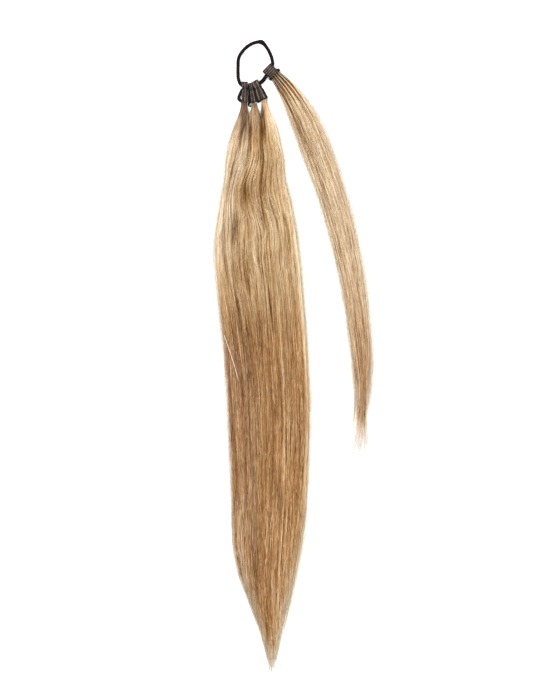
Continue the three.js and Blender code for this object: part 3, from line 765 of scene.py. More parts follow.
        # painted shade in the partings: the hair there is darker, less open to the light and warmer
        dark = lines_near(PARTINGS, p[..., 0], d)
        shade = shade + lines_near(GLEAMS, p[..., 0], d) + tones(p[..., 0], d) - 0.55 * dark
        painted_lit_share = painted_lit_share * (1 - 0.30 * dark)
        if name == "hair_right":
            rim = smooth(0.35, 0.82, across)
            shade = shade + rim * (0.20 * smooth(37, 60, d) * (1 - smooth(270, 360, d)) + 0.06)
            brown = brown * (1 - 0.45 * smooth(0.55, 0.85, across))
        if name == "hair_left":
            shade = shade + smooth(0.42, 0.84, -across) * 0.29 * smooth(60, 100, d) * (1 - smooth(190, 260, d)) - 0.04 * smooth(140, 200, d) - 0.09 * smooth(220, 320, d)
        if name == "hair_middle":
            shade = shade + 0.05 * smooth(120, 180, d) - 0.03 * smooth(230, 320, d)
        root_dark = {"hair_left": 0.48, "hair_middle": 0.20, "hair_right": -0.07}[name]
        shade = shade - root_dark * (1 - smooth(6, 44, from_root)) + 0.48 * smooth(545, 590, d)
        # painted shade at the stitching: the roots are less open to the light
        painted_lit_share = painted_lit_share * (1 - (0.12 if name == "hair_right" else 0.30) * (1 - smooth(0, 10, from_root)))
        # painted light: the thin rim of the taper is painted paler, less brown and fully open to the light, as thin
        # hair lit against the pale floor; its hairs are also thicker
        left, right = tail_at["left"](d), tail_at["right"](d)
        thin = np.maximum((1 - smooth(0.1, 1, (p[..., 0] - left) / np.clip(0.3 * (right - left), 6, 16))) * smooth(410, 475, d),
                          (1 - smooth(0.1, 1, (right - p[..., 0]) / np.clip(0.25 * (right - left), 6, 13))) * smooth(320, 430, d))
        rim_painted_light = thin * np.clip(rng.uniform(0.1, 1.2, count), 0, 1)[:, None]
        brown = brown * (1 - 0.9 * rim_painted_light)
        radius = radius * (1 + 0.7 * thin * smooth(430, 500, d))
        shade = shade + (0.14 + 0.40 * smooth(470, 540, d)) * (0.4 * thin + 0.6 * rim_painted_light) + 0.07 * lock_shade[own][:, None] * smooth(490, 550, d) * (1 - smooth(575, 595, d))
        painted_lit_share = painted_lit_share + (1 - painted_lit_share) * thin
    ash = {"hair_left": 0.28, "hair_middle": -0.02, "hair_right": -0.10, "hair_side": 0.26}[name] * (1 - 0.5 * smooth(200, 340, d)) + 0.04 * smooth(240, 330, d) + 0.13 * fringe[:, None]
    if name == "hair_left":
        ash = ash - 0.2 * smooth(180, 205, d) * (1 - smooth(260, 290, d)) + 0.2 * smooth(375, 420, d) * (1 - smooth(470, 510, d))
    ash = ash + 0.5 * smooth(run_of(350), run_of(372), d) if side else ash - 0.1 * dark + 0.45 * (1 - smooth(10, 40, from_root))
    attr = np.stack([np.clip(shade, 0, 1), np.clip(brown, 0, 1), np.clip(painted_lit_share, 0, 1), ash], -1)
    flow = np.stack([np.repeat((14 * u + reach + rng.normal(0, 0.25, count))[:, None], STEPS, 1), d, np.repeat((3 * v + 0.15 * own)[:, None], STEPS, 1)], -1)
    return p, radius, attr, flow


def loose_hairs(name, hank, rng):
    """Short hairs that stray over the top and out of the sides."""
    side = name == "hair_side"
    t = np.linspace(0, 1, STEPS)[None]
    rows = []
    length = hank.end

    def add(d0, d1, u0, u1, v, out, bow, size, tone, wave=0.0, every=30.0):
        rows.append((d0, d1, u0, u1, v, out, bow, size, tone, wave, every))
    for _ in range(26):  # over the top, a little across the others
        d0 = rng.uniform(0.12, 0.72) * length
        u0 = rng.uniform(-0.8, 0.8)
        add(d0, min(d0 + rng.uniform(50, 130), 0.87 * length), u0, u0 + rng.normal(0, 0.12), rng.uniform(0.99, 1.02), 0, rng.normal(0, 0.8),
            rng.uniform(0.06, 0.085), rng.choice([0.3, 0.5, 0.62]))
    for way in OUTER[name]:
        for _ in range(22):  # out of the side
            d0 = rng.uniform(0.10, 0.80) * length
            add(d0, min(d0 + rng.uniform(30, 110), 0.86 * length), way * 0.86, way * 0.88, rng.uniform(0.1, 0.8), way * rng.uniform(0.6, 4.6),
                way * rng.uniform(0.0, 1.4), rng.uniform(0.055, 0.08), rng.uniform(0.6, 0.95))
    if not side:
        for _ in range(72):  # the lower length is a little tangled
            d0 = rng.uniform(330, 520)
            u0 = rng.uniform(-0.88, 0.88)
            add(d0, min(d0 + rng.uniform(60, 130), 594), u0, u0 * 0.96 + rng.normal(0, 0.14), rng.uniform(0.95, 1.03), 0, rng.normal(0, 0.5),
                rng.uniform(0.12, 0.19), rng.choice([0.14, 0.24, 0.62, 0.7]), rng.uniform(0.2, 0.7), rng.uniform(18, 44))
    if name == "hair_left":  # one pale hair lies across the others
        add(270, 316, -0.86, -0.04, 1.08, 0, 0.6, 0.27, 1.0)
        for k in range(7):  # a thin wisp stands off the side
            add(108 + 6 * k, 176 + 9 * k, -0.87, -0.90, 0.3, -0.4 - 0.25 * k, -0.8 - 0.45 * k, 0.07, 0.9)
    if side:
        for k in range(16):  # the tip's left side comes apart
            add(run_of(292 + 3.4 * k), run_of(346 + 1.9 * k), -0.8, -0.9, 0.3, -0.6 - 0.5 * k, rng.normal(0.2, 0.6), 0.08, 0.6)
        for k in range(54):  # and thin wisps run on past it
            f = (k * 0.618) % 1
            d1 = run_of(376 + 38 * rng.random())
            straight = hank.place(np.array([d1]), np.array([0.2]), np.array([0.5]))[0, 0]
            add(run_of(326 + 16 * rng.random()), d1, -0.75 + 1.5 * f, 0.2, 0.5, 95.5 + 20 * f + rng.normal(0, 0.8) - straight, 0.0, rng.uniform(0.13, 0.17), 0.68)
        for k in range(34):  # thin fringe below the root's left end
            add(1 + 5 * rng.random(), rng.uniform(60, 130), -0.86, -0.90, 0.3, -rng.uniform(0.2, 2.6), -rng.uniform(0.4, 3.4),
                rng.uniform(0.05, 0.075), rng.uniform(0.75, 1.0))
    r = np.array(rows, float)
    d = r[:, :1] + (r[:, 1:2] - r[:, :1]) * t
    u = r[:, 2:3] + (r[:, 3:4] - r[:, 2:3]) * t
    p = hank.place(d, u, np.repeat(r[:, 4:5], STEPS, 1))
    p[..., 0] += r[:, 5:6] * t ** 1.4 + r[:, 6:7] * np.sin(np.pi * t) + r[:, 9:10] * np.sin(2 * np.pi * d / r[:, 10:11] + 40 * r[:, 2:3])
    p[..., 2] = np.maximum(p[..., 2], 0.14)
    radius = r[:, 7:8] * (1 - 0.7 * smooth(0.85, 1, t))
    lower = (0.62 * smooth(205, 330, d) * (1 - 0.7 * smooth(run_of(352), run_of(376), d))) if side else smooth(195, 300, d) * (r[:, 8:9] < 0.99)
    ash = 0.3 - (0.5 * smooth(run_of(290), run_of(340), d) - 2.2 * smooth(run_of(352), run_of(378), d) if side else 0.4 * smooth(300, 420, d))
    attr = np.stack([np.repeat(r[:, 8:9], STEPS, 1), lower, np.ones_like(d), ash], -1)
    flow = np.stack([np.repeat(40 + 1.7 * np.arange(len(r))[:, None], STEPS, 1), d, 0 * d], -1)
    return p, radius, attr, flow


def strand_uv(count, rings, sides):
    """Each strand gets a narrow strip of the map of its own: quads, then first and last caps."""
    bands = 3
    per = math.ceil(count / bands)
    i = np.arange(count)
    u0 = (i % per) / per
    v0 = (i // per) / bands
    du, dv = 0.9 / per, 0.96 / bands
    ring = np.arange(rings - 1) / (rings - 1)
    k = np.arange(sides)
    zero = np.zeros((count, rings - 1, sides))
    left = u0[:, None, None] + du * (k / sides)[None, None, :] + zero
    right = u0[:, None, None] + du * ((k + 1) / sides)[None, None, :] + zero
    low = v0[:, None, None] + dv * ring[None, :, None] + zero
    high = v0[:, None, None] + dv * (ring + 1 / (rings - 1))[None, :, None] + zero
    q = np.stack([np.stack([left, low], -1), np.stack([left, high], -1), np.stack([right, high], -1), np.stack([right, low], -1)], -2)
    ends = []
    for v in (v0, v0 + dv):
        tri = np.stack([u0 + du * 0.1, u0 + du * 0.9, u0 + du * 0.5], -1)
        ends.append(np.stack([tri, np.stack([v, v, v + 0.003], -1)], -1))
    return q.reshape(-1, 2), np.concatenate(ends).reshape(-1, 2)


def hank_core(name, hank):
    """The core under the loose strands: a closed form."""
    side = name == "hair_side"
    rows, across = 34, 16
    begin = float(np.max(hank.start(np.array([-1.0, 1.0])))) + (-1.6 if side else 0.4)
    end = run_of(322) if side else 535
    d = np.repeat((begin + (end - begin) * np.linspace(0, 1, rows) ** 1.2)[:, None], across, 1)
    reach_a = 0.78 if -1 in OUTER[name] else 1.0
    reach_b = 0.78 if 1 in OUTER[name] else 1.0
    u = np.sin(np.linspace(-np.pi / 2, np.pi / 2, across))
    u = np.repeat((u * np.where(u < 0, reach_a, reach_b))[None], rows, 0)
    if not side:  # narrower towards the tip
        u = u * (1 - 0.3 * smooth(430, 535, d))
    else:
        u = u * (1 - 0.35 * smooth(0.75, 1.0, d / end))
    thin = 0.78 * (1 - 0.6 * smooth(end - 110, end, d))
    over = hank.place(d, u, thin)
    under = hank.place(d, u, 0 * thin)
    if not side:
        for part in (over, under):
            part[..., 0] += sweep(part[..., 0], d) * 0.6
    under[..., 2] = np.maximum(under[..., 2], 0.15)
    over[..., 2] = np.maximum(over[..., 2], under[..., 2] + 0.25)
    ring = np.concatenate([over, under[:, ::-1]], 1)
    n = ring.shape[1]
    a = (np.arange(rows - 1) * n)[:, None] + np.arange(n)[None]
    b = (np.arange(rows - 1) * n)[:, None] + (np.arange(n)[None] + 1) % n
    quads = np.stack([a, a + n, b + n, b], -1).reshape(-1, 4)
    k = np.arange(across - 1)
    first = np.stack([k, k + 1, n - 2 - k, n - 1 - k], -1)
    last = first[:, ::-1] + (rows - 1) * n
    attr = np.zeros((rows * n, 4))
    # painted shade: the core gets a dark tone and is half open to the light, so that it reads as the shade under and
    # between the strands
    attr[:, 0] = 0.25
    attr[:, 1] = np.repeat(smooth(195, 300, d[:, 0]) * (0.6 if side else 1.0), n)
    attr[:, 2] = np.repeat(0.62 - 0.5 * (1 - smooth(3, 24, d[:, 0])), n) if side else 0.62
    verts = ring.reshape(-1, 3)
    flow = np.stack([verts[:, 0], -verts[:, 1], verts[:, 2]], -1)
    return verts, outward(verts, [np.concatenate([quads, first, last])])[0], attr, flow


COUNTS = {"hair_left": (762, 30), "hair_middle": (808, 28), "hair_right": (770, 30), "hair_side": (748, 26)}
for name, hank in HANKS.items():
    rng = np.random.default_rng(sum(map(ord, name)))
    strands, loose = hank_strands(name, hank, *COUNTS[name], rng), loose_hairs(name, hank, rng)
    p, radius, attr, flow = (np.concatenate(pair) for pair in zip(strands, loose))
    count = len(p)
    verts, quads, caps = tubes(p, radius, 3, rng.uniform(0, 2.09, (count, 1, 1)))
    cv, cq, ca, cf = hank_core(name, hank)
    quad_uv, cap_uv = strand_uv(count, STEPS, 3)
    core_uv = np.tile(np.array([[0.0, 0.972], [0.02, 0.972], [0.02, 0.99], [0.0, 0.99]]), (len(cq), 1))
    ob = make(name + "_strands", np.concatenate([verts, cv]), [np.concatenate([quads, cq + len(verts)]), caps], [hair_mat],
              attrs={"strand": np.concatenate([np.repeat(attr.reshape(-1, 4), 3, 0), ca]),
                     "flow": np.concatenate([np.repeat(flow.reshape(-1, 3), 3, 0), cf])},
              uv=np.concatenate([quad_uv, core_uv, cap_uv]))
    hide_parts(name)
    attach(ob, "root")


# ---------------------------------------------------------------- elastic --
loop_line, LOOP_LEN = spline([(x, y, CORD_R + l * CORD_LIFT) for x, y, l in LOOP], closed=True, per=40)


def elastic():
    steps = 264
    s = np.linspace(0, LOOP_LEN, steps, endpoint=False)
    mid = loop_line(s)
    t = unit(loop_line(s + 0.3) - loop_line(s - 0.3))
    side = unit(np.cross(t, np.array([0, 0, 1.0])))
    top = np.cross(side, t)
    away = np.hypot(mid[:, 0] - JOIN_AT[0], mid[:, 1] - JOIN_AT[1]) / JOIN_HALF
    near = np.hypot(mid[:, 0] - 8.0, mid[:, 1] + 14.5) / 5.5  # slack between the tabs, so fuller there
    swell = 1 + JOIN_SWELL * np.exp(-away ** 2) + 0.2 * np.exp(-near ** 2)
    mid = mid + np.array([0, 0, 1.0]) * (CORD_R * (swell - 1))[:, None]
    yarns, turns = 8, 15  # each way round
    rng = np.random.default_rng(5)
    paths, tone = [], []
    for way in (1, -1):
        for k in range(yarns):
            ang = 2 * np.pi * (k + (0.5 if way < 0 else 0)) / yarns + way * 2 * np.pi * turns * s / LOOP_LEN
            r = (1.38 + 0.11 * way * np.cos(yarns * ang / 2 + way * np.pi * k)) * swell
            paths.append(mid + side * (r * np.cos(ang))[:, None] + top * (r * np.sin(ang))[:, None])
            tone.append(0.4 + 0.4 * rng.random())
    v, q = closed_tubes(np.array(paths), 0.36 * swell[None], 4, np.pi / 4)
    core_v, core_q = closed_tubes(mid[None], 1.36 * swell[None], 12)
    tones = np.concatenate([np.repeat(np.array(tone), steps * 4), np.full(len(core_v), 0.05)])
    verts = np.concatenate([v, core_v])
    verts[:, 2] = np.maximum(verts[:, 2], 0.0)
    return make("elastic_braid", verts, [np.concatenate([q, core_q + len(v)])], [elastic_mat], attrs={"yarn": np.stack([tones] * 3, -1)})


ob = elastic()
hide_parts("elastic_loop")
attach(ob, "root")


# ------------------------------------------------------------------- tabs --
def local_frame(tab):
    h = math.radians(tab["heading"])
    dx, dy = math.cos(h), math.sin(h)

    def world(s, c, z):
        """s from the fold along the leaves, c across, z up."""
        s, c, z = np.broadcast_arrays(np.asarray(s, float), np.asarray(c, float), np.asarray(z, float))
        return np.stack([tab["x"] + dx * s + dy * c, tab["y"] + dy * s - dx * c, z], -1)
    return world


def ribbon_line(tab):
    """The ribbon's middle line seen from its edge, from the lower free end round to the upper."""
    leaf, level, mouth, pinch = tab["leaf"], tab["level"], tab["mouth"], tab["pinch"]
    half = RIBBON_T / 2
    arc = np.linspace(-np.pi / 2, -3 * np.pi / 2, 24)
    r = FOLD_R - half
    top_s = np.linspace(FOLD_R, leaf, 60)[1:]
    top_z = np.interp(top_s, [FOLD_R, level, leaf], [2 * FOLD_R - half, 2 * FOLD_R - half, RIBBON_T + mouth + half])
    top_z = top_z - pinch * np.exp(-((top_s - level - 1.2) / 1.3) ** 2)
    return np.concatenate([
        np.stack([np.linspace(leaf, FOLD_R, 30, endpoint=False), np.full(30, half)], -1),
        np.stack([FOLD_R + r * np.cos(arc), FOLD_R + r * np.sin(arc)], -1),
        np.stack([top_s, top_z], -1),
    ])


def half_width(tab, s):
    pinch_at = tab["level"] + 1.2
    w = np.interp(s, [FOLD_R, tab["leaf"]], [tab["head"], tab["foot"]])
    return w / 2 * (1 - tab["waist"] * np.exp(-((s - pinch_at) / 2.6) ** 2))


def ribbon(name, tab, rng):
    """A ribbon folded round the cord: a thin ribbed sheet with its pleats."""
    line = ribbon_line(tab)
    run = np.concatenate([[0], np.cumsum(np.linalg.norm(np.diff(line, axis=0), axis=1))])
    length = run[-1]
    rows, cols = tab["mesh"]
    q = np.linspace(0, length, rows)
    s, z = np.interp(q, run, line[:, 0]), np.interp(q, run, line[:, 1])
    nrm = unit(np.stack([-np.gradient(z, q), np.gradient(s, q)], -1))  # out of the fold
    c = np.linspace(-1, 1, cols)[None]
    hw = half_width(tab, s)[:, None]
    upper = smooth(length * 0.45, length * 0.58, q)[:, None]
    folds, deep = tab["pleats"]
    phase = tab["phase"]
    bend = 0.25 * np.sin(q[:, None] * 0.23 + phase)
    wave = 0.6 * np.cos(np.pi * folds * (c + bend * 0.3) + phase) + 0.4 * np.cos(np.pi * folds * 1.7 * c + 2.1 * phase)
    pleat = deep * upper * (wave - 0.35)
    edge = -0.3 * upper * np.abs(c) ** 6
    wobble = 0.05 * np.sin(q[:, None] * 0.9 + c * 2.3 + phase)
    pitch, depth = tab["ribs"]
    rib = np.cos(2 * np.pi * q / pitch)[:, None]
    fray = 1 + 0.02 * np.sin(q[:, None] * 2.3 + phase) * np.sign(c)
    across = c * hw * fray + tab["drawn"] * (1 - smooth(2, 10, s))[:, None]
    skew = tab["skew"] * c * hw * (1 - smooth(2, 9, s))[:, None]
    world = local_frame(tab)
    sheets = []
    for sign in (1, -1):
        off = sign * 0.33 + depth * rib * (1 if sign > 0 else -0.4) + pleat + edge + wobble
        sheets.append(world(s[:, None] + nrm[:, :1] * off + skew, across, np.maximum(z[:, None] + nrm[:, 1:] * off, 0.03)))
    n = rows * cols
    idx = np.arange(n).reshape(rows, cols)
    qa = np.stack([idx[:-1, :-1], idx[:-1, 1:], idx[1:, 1:], idx[1:, :-1]], -1).reshape(-1, 4)
    rim = np.concatenate([idx[0, :], idx[1:, -1], idx[-1, -2::-1], idx[-2:0:-1, 0]])
    nx = np.roll(rim, -1)
    verts = np.concatenate([sheets[0].reshape(-1, 3), sheets[1].reshape(-1, 3)])
    faces = outward(verts, [np.concatenate([qa, qa[:, ::-1] + n, np.stack([nx, rim, rim + n, nx + n], -1)])])
    # painted light: ribs and pleats are painted lighter on their crests and darker in their hollows
    height = tab["shade"] + tab["rib_tone"] * rib + tab["pleat_tone"] * (wave - 0.1) * upper + rng.normal(0, 0.05, (rows, 1))
    # darker towards the edges; painted shade where the upper leaf is pinched below the cord, and a painted highlight on
    # the roof over the cord
    painted_light_and_edges = (1 - 0.5 * smooth(0.74, 1.0, np.abs(c))) * (1 - 0.12 * np.exp(-((s[:, None] - tab["level"] - 1.2) / 1.2) ** 2) * upper)
    painted_light_and_edges = painted_light_and_edges * (1 + tab["roof"] * upper * (1 - smooth(tab["level"] - 1.5, tab["level"] + 0.8, s[:, None])))
    attr = np.stack([np.clip(height, 0, 1), np.clip(painted_light_and_edges + 0 * height, 0, 1.4), 0 * height], -1).reshape(-1, 3)
    ob = make(name + "_ribbon", verts, faces, [ribbon_mat], attrs={"cloth": np.concatenate([attr, attr])})
    return ob, length


# the rib and pleat amounts are painted light on the crests; the roof amount is a painted highlight over the cord
GATHERED = dict(ribs=(1.0, 0.03), rib_tone=0.05, pleat_tone=0.42, mesh=(92, 29), pinch=0.8, waist=0.14, drawn=0.0, shade=0.45)
LOOKS = {
    "tab_left": dict(GATHERED, pleats=(2.3, 0.36), phase=0.4, skew=0.0, roof=0.05),
    "tab_middle": dict(GATHERED, pleats=(1.9, 0.34), phase=1.7, skew=0.0, roof=0.05),
    "tab_right": dict(GATHERED, pleats=(2.0, 0.42), phase=2.6, skew=0.12, roof=0.35, waist=0.20, head=7.0, drawn=0.7),
    "tab_side": dict(ribs=(2.1, 0.16), rib_tone=0.36, pleat_tone=0.10, mesh=(140, 13), pinch=0.25, waist=0.02, drawn=0.0, shade=0.40,
                     pleats=(1.0, 0.08), phase=0.9, skew=0.0, roof=0.0),
}
for i, (name, look) in enumerate(LOOKS.items()):
    tab = TABS[name]
    tab.update(look)
    ob, length = ribbon(name, tab, np.random.default_rng(30 + i))
    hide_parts(name)
    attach(ob, "root")
    wide = max(tab["head"], tab["foot"])


# ------------------------------------------------------------- weft heads --
def weft(thick, line, rng):
    """A stitched band: turns of thread laid side by side round a core."""
    at, length = spline([(x, -d, TRACK_FOOT + TRACK_H / 2) for x, d in line], per=30)
    turns = int(length / 0.46)
    s = (np.arange(turns) + 0.5) * length / turns
    mid = at(s)
    t = unit(at(np.clip(s + 0.2, 0, length)) - at(np.clip(s - 0.2, 0, length)))
    n = np.stack([-t[:, 1], t[:, 0], np.zeros(turns)], -1)
    m = 16
    a = 2 * np.pi * np.arange(m) / m
    ca = np.sign(np.cos(a)) * np.abs(np.cos(a)) ** 0.55  # a rounded box
    sa = np.sign(np.sin(a)) * np.abs(np.sin(a)) ** 0.55
    wide, tall = thick / 2 - 0.2, TRACK_H / 2 - 0.2
    lean = 0.18 * np.sin(a)[None, :] + rng.normal(0, 0.04, (turns, 1))
    size = 1 + rng.normal(0, 0.05, (turns, 1))
    paths = (mid[:, None] + n[:, None] * (wide * ca * size)[..., None] + t[:, None] * lean[..., None]
             + np.array([0, 0, 1.0]) * (tall * sa * size)[..., None])
    along = unit(np.roll(paths, -1, 1) - np.roll(paths, 1, 1))
    out = unit(paths - mid[:, None])
    across = unit(np.cross(along, out))
    out = np.cross(across, along)
    ang = 2 * np.pi * np.arange(5) / 5
    ring = out[:, :, None] * np.cos(ang)[None, None, :, None] + across[:, :, None] * np.sin(ang)[None, None, :, None]
    verts = (paths[:, :, None] + ring * 0.25).reshape(-1, 3)
    base = (np.arange(turns) * m * 5)[:, None, None]
    here = (np.arange(m) * 5)[None, :, None]
    nxt = (((np.arange(m) + 1) % m) * 5)[None, :, None]
    k, k2 = np.arange(5)[None, None, :], ((np.arange(5) + 1) % 5)[None, None, :]
    quads = outward(verts, [np.stack([base + here + k, base + nxt + k, base + nxt + k2, base + here + k2], -1).reshape(-1, 4)])
    tone = np.repeat(0.35 + 0.4 * rng.random(turns), m * 5)
    # The core, a closed band.
    rows = 36
    cs = np.linspace(0.1, length - 0.1, rows)
    cm = at(cs)
    ct = unit(at(np.clip(cs + 0.2, 0, length)) - at(np.clip(cs - 0.2, 0, length)))
    cn = np.stack([-ct[:, 1], ct[:, 0], np.zeros(rows)], -1)
    shrink = np.sqrt(np.clip(np.minimum(cs, length - cs) / 0.6, 0.15, 1))[:, None]
    core = cm[:, None] + cn[:, None] * (wide * ca * shrink)[..., None] + np.array([0, 0, 1.0]) * (tall * sa * shrink)[..., None]
    cv = core.reshape(-1, 3)
    ci = np.arange(rows * m).reshape(rows, m)
    cq = np.stack([ci[:-1], np.roll(ci, -1, 1)[:-1], np.roll(ci, -1, 1)[1:], ci[1:]], -1).reshape(-1, 4)
    caps = np.stack([ci[0][::-1], ci[-1]])
    return joined([(verts, quads, np.stack([tone] * 3, -1)), (cv, outward(cv, [cq, caps]), np.full((len(cv), 3), 0.1))])


def threads(paths, radius, tone, sides=6):
    """Sewing threads along given points, as one closed form each."""
    parts = []
    for pts, r, k in zip(paths, radius, tone):
        at, length = spline(pts, per=8)
        m = max(6, int(length / 0.8))
        p = at(np.linspace(0, length, m))[None]
        end = np.minimum(np.arange(m), np.arange(m)[::-1])
        v, q, caps = tubes(p, (r * np.where(end == 0, 0.45, 1.0))[None], sides)
        parts.append((v, [q, caps], np.full((len(v), 3), k)))
    return parts


def knot(at, r, tone):
    rows, cols = 6, 8
    th = np.linspace(0.25, np.pi - 0.25, rows)[:, None]
    ph = 2 * np.pi * np.arange(cols)[None] / cols
    v = (np.array(at) + r * np.stack([np.sin(th) * np.cos(ph), np.sin(th) * np.sin(ph), 0.8 * np.cos(th) + 0 * ph], -1)).reshape(-1, 3)
    i = np.arange(rows * cols).reshape(rows, cols)
    q = np.stack([i[:-1], np.roll(i, -1, 1)[:-1], np.roll(i, -1, 1)[1:], i[1:]], -1).reshape(-1, 4)
    caps = np.stack([i[0][::-1], i[-1]])
    return (v, outward(v, [q, caps]), np.full((len(v), 3), tone))


def stitches(tab, rng, ends=(1, 1)):
    """The seam below the cord: threads over the upper leaf, knotted at its sides."""
    world = local_frame(tab)
    s0 = tab["level"] + 1.2
    line = ribbon_line(tab)
    upper = line[len(line) // 2:]
    z0 = float(np.interp(s0, upper[-58:, 0], upper[-58:, 1])) + 0.42
    hw = float(half_width(tab, np.array(s0)))
    parts = []
    for k in (-0.75, -0.1, 0.55):
        for way in (-1, 1):
            c = way * np.array([1.12, 1.05, 0.85, 0.62, 0.58]) * hw
            s = s0 + k + rng.normal(0, 0.12, 5)
            z = np.array([z0 - 1.5, z0 - 0.3, z0, z0 - 0.05, z0 - 0.6])
            parts += threads([world(s, c, z)], [0.2], [0.3], 5)
    for sign, on in zip((-1, 1), ends):
        if on:
            parts.append(knot(world(s0 + 0.1, sign * (hw + 0.2), z0 - 0.6), 0.75, 0.12))
    return parts


def weft_piece(name, parts):
    ob = make(name + "_stitching", *(lambda v, f, a: (v, f, [thread_mat], {"yarn": a}))(*joined(parts)))
    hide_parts(name)
    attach(ob, "root")


extra = {name: [] for name in TRACKS}
rng = np.random.default_rng(71)
extra["weft_left"] += stitches(TABS["tab_left"], rng)
extra["weft_middle"] += stitches(TABS["tab_middle"], rng, (1, 0))
extra["weft_right"] += stitches(TABS["tab_right"], rng)
# Loose binding threads fill the gaps between the three tabs; their dark mass also stands as painted shade between the
# tabs.
for k in range(14):
    f = (k + 0.5) / 14
    x0, x1 = -6.55 + 0.5 * f, -6.35 + 2.3 * f
    wig = rng.normal(0, 0.25, 5)
    extra["weft_middle"] += threads([[(x0, -19.5 - 1.5 * f, 3.4), (x0 + 0.2 + wig[0] * 0.4, -24, 2.6 + 0.8 * rng.random()), (x0 * 0.6 + x1 * 0.4 + wig[1], -29, 2.2 + rng.random()),
                                      (x1 + wig[2], -34, 1.8 + rng.random()), (x1 + 0.3 * wig[3], -38.3, 1.6)]], [0.45], [rng.uniform(0.0, 0.45)])
for k in range(8):
    f = (k + 0.5) / 8
    wig = rng.normal(0, 0.12, 4)
    extra["weft_right"] += threads([[(-2.6 + 1.1 * f, -20.6, 3.2), (-2.2 + 1.7 * f + wig[0], -24.5, 2.9 + 0.4 * rng.random()), (-1.0 + 2.4 * f + wig[1], -29.5, 2.5 + 0.5 * rng.random()),
                                     (0.4 + 2.6 * f + wig[2], -34.0, 2.0 + 0.6 * rng.random()), (1.0 + 2.8 * f, -37.4, 1.8)]],
                                   [0.42], [rng.uniform(0.1, 0.8)])
# The left band is overcast along its corner, and threads close most of the gap beside the tab.
for pts, r in (([(-15.2, 29.2), (-16.7, 31.4), (-17.5, 33.4), (-16.7, 35.4), (-14.6, 36.9), (-12.6, 37.5)], 0.5),
               ([(-13.2, 26.6), (-14.0, 29.0), (-14.9, 31.0), (-15.2, 33.2), (-14.6, 34.7), (-12.8, 35.4)], 0.5),
               ([(-12.9, 25.4), (-13.2, 27.4), (-13.4, 29.6), (-14.6, 30.4)], 0.55),
               ([(-15.6, 34.2), (-14.2, 35.4), (-12.0, 35.9)], 0.6)):
    extra["weft_left"] += threads([[(x, -d, 2.4 + 0.4 * rng.random()) for x, d in pts]], [r], [rng.uniform(0.1, 0.5)])
extra["weft_middle"] += threads([[(-6.6, -38.0, 2.0), (-6.5, -39.6, 2.2), (-5.9, -41.0, 2.2)], [(-5.6, -38.6, 2.0), (-5.9, -39.8, 1.8)]], [0.55, 0.4], [0.1, 0.2])
# the knot at (1.0, -22.0) is a dark lump that stands as painted shade under the right tab's roof corner
for at, r in (((2.6, -36.4, 2.6), 1.3), ((3.4, -37.2, 2.2), 1.1), ((-7.6, -23.4, 4.4), 0.9), ((1.0, -22.0, 4.2), 1.0)):
    extra["weft_right"].append(knot(at, r, 0.1))
# The side band is bound off in a thick knot at each end.
for at, r in (((23.4, -4.9, 2.9), 1.35), ((22.6, -5.2, 2.9), 1.2), ((15.2, -14.6, 2.7), 1.25)):
    extra["weft_side"].append(knot(at, r, 0.1))
world = local_frame(TABS["tab_side"])
for off, r in ((9.2, 0.45), (9.9, 0.5), (10.9, 0.5)):
    c = np.linspace(-6.4, 6.2, 9)
    extra["weft_side"] += threads([world(off + rng.normal(0, 0.08, 9), c, 3.6 + 0.1 * np.cos(c))], [r], [rng.uniform(0.05, 0.3)])
# Overcast edges: a dark cord of thread along the right tab's outer side and the side tab's lower one, where it also
# stands as painted shade along the fold's edge.
for name, tab, sign, s0, s1, to in (("weft_right", TABS["tab_right"], -1, 5.4, 20.6, 0.5), ("weft_side", TABS["tab_side"], 1, 0.4, 6.2, 0.7)):
    world = local_frame(tab)
    for ply in range(2):
        s = np.linspace(s0, s1, int((s1 - s0) / 0.5))
        twist = 2 * np.pi * s / 2.2 + np.pi * ply
        hw = half_width(tab, s)
        z = np.interp(s, [0, 3, tab["level"], tab["leaf"]], [2.9, 3.6, 3.6, 2.7])
        extra[name] += threads([world(s, sign * (hw + 0.12 + 0.16 * np.cos(twist)), z + 0.5 * np.sin(twist))], [to * 0.8], [0.15 + 0.15 * ply])

for i, (name, (thick, line)) in enumerate(TRACKS.items()):
    weft_piece(name, [weft(thick, line, np.random.default_rng(50 + i))] + extra[name])


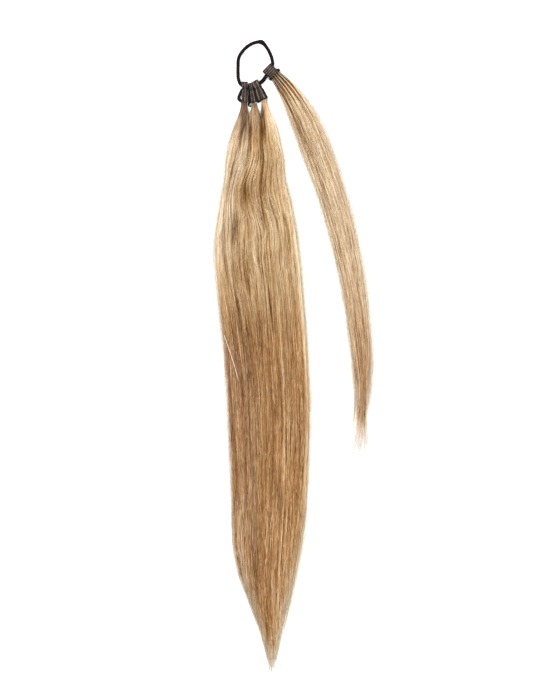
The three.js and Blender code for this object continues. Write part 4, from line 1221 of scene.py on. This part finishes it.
# ------------------------------------------------- floor, light and camera --
def floor():
    me = bpy.data.meshes.new("floor")
    s = 14.0
    me.from_pydata([(-s, -s, 0), (s, -s, 0), (s, s, 0), (-s, s, 0)], [], [(0, 1, 2, 3)])
    ob = bpy.data.objects.new("floor", me)
    bpy.context.scene.collection.objects.link(ob)
    m, tree, b = material("pale_floor", 0.8, 0.2)
    tone = ramp(tree, [(0.0, (0.77, 0.77, 0.772, 1)), (1.0, (0.79, 0.79, 0.79, 1))], noise(tree, 3.0))
    place = tree.nodes.new("ShaderNodeTexCoord")
    reach = tree.nodes.new("ShaderNodeVectorMath")
    reach.operation = "LENGTH"
    tree.links.new(place.outputs["Object"], reach.inputs[0])
    far = value_ramp(tree, reach.outputs["Value"], 0.9, 3.0, 0.0, 1.0)
    tree.links.new(mix(tree, "MIX", far, tone, ramp(tree, [(0.0, (0.96, 0.96, 0.96, 1)), (1.0, (0.98, 0.98, 0.98, 1))], noise(tree, 3.0))), b.inputs["Base Color"])
    me.materials.append(m)


floor()


def area(name, at, aim, size, watts, colour=(1, 1, 1)):
    light = bpy.data.lights.new(name, "AREA")
    light.shape = "RECTANGLE"
    light.size, light.size_y = size
    light.energy = watts
    light.color = colour
    ob = bpy.data.objects.new(name, light)
    ob.location = at
    ob.rotation_euler = (Vector(aim) - Vector(at)).to_track_quat("-Z", "Y").to_euler()
    ob.visible_camera = False
    bpy.context.scene.collection.objects.link(ob)


TARGET = (0.023, -0.285, 0.0)
area("key", (-0.75, 0.30, 2.1), TARGET, (1.9, 1.9), 79)
area("fill", (1.2, -0.6, 2.0), TARGET, (2.0, 2.0), 41)
world = bpy.data.worlds.new("studio")
world.use_nodes = True
world.node_tree.nodes["Background"].inputs["Color"].default_value = (1, 1, 1, 1)
world.node_tree.nodes["Background"].inputs["Strength"].default_value = 0.845
bpy.context.scene.world = world

# One pixel of the 556 x 700 frame is one millimetre on the floor.
cam = bpy.data.cameras.new("camera")
cam.lens = 135
cam.sensor_width = 36
cam.sensor_fit = "AUTO"
cam.clip_end = 30
camera = bpy.data.objects.new("camera", cam)
camera.location = (0.023, -0.285, 0.700 * 135 / 36)
camera.rotation_euler = (0, 0, 0)
bpy.context.scene.collection.objects.link(camera)
bpy.context.scene.camera = camera
bpy.context.scene.view_settings.view_transform = "Standard"
bpy.context.scene.view_settings.look = "None"
bpy.context.scene.cycles.denoising_prefilter = "NONE"  # keeps the fine grain of the hair
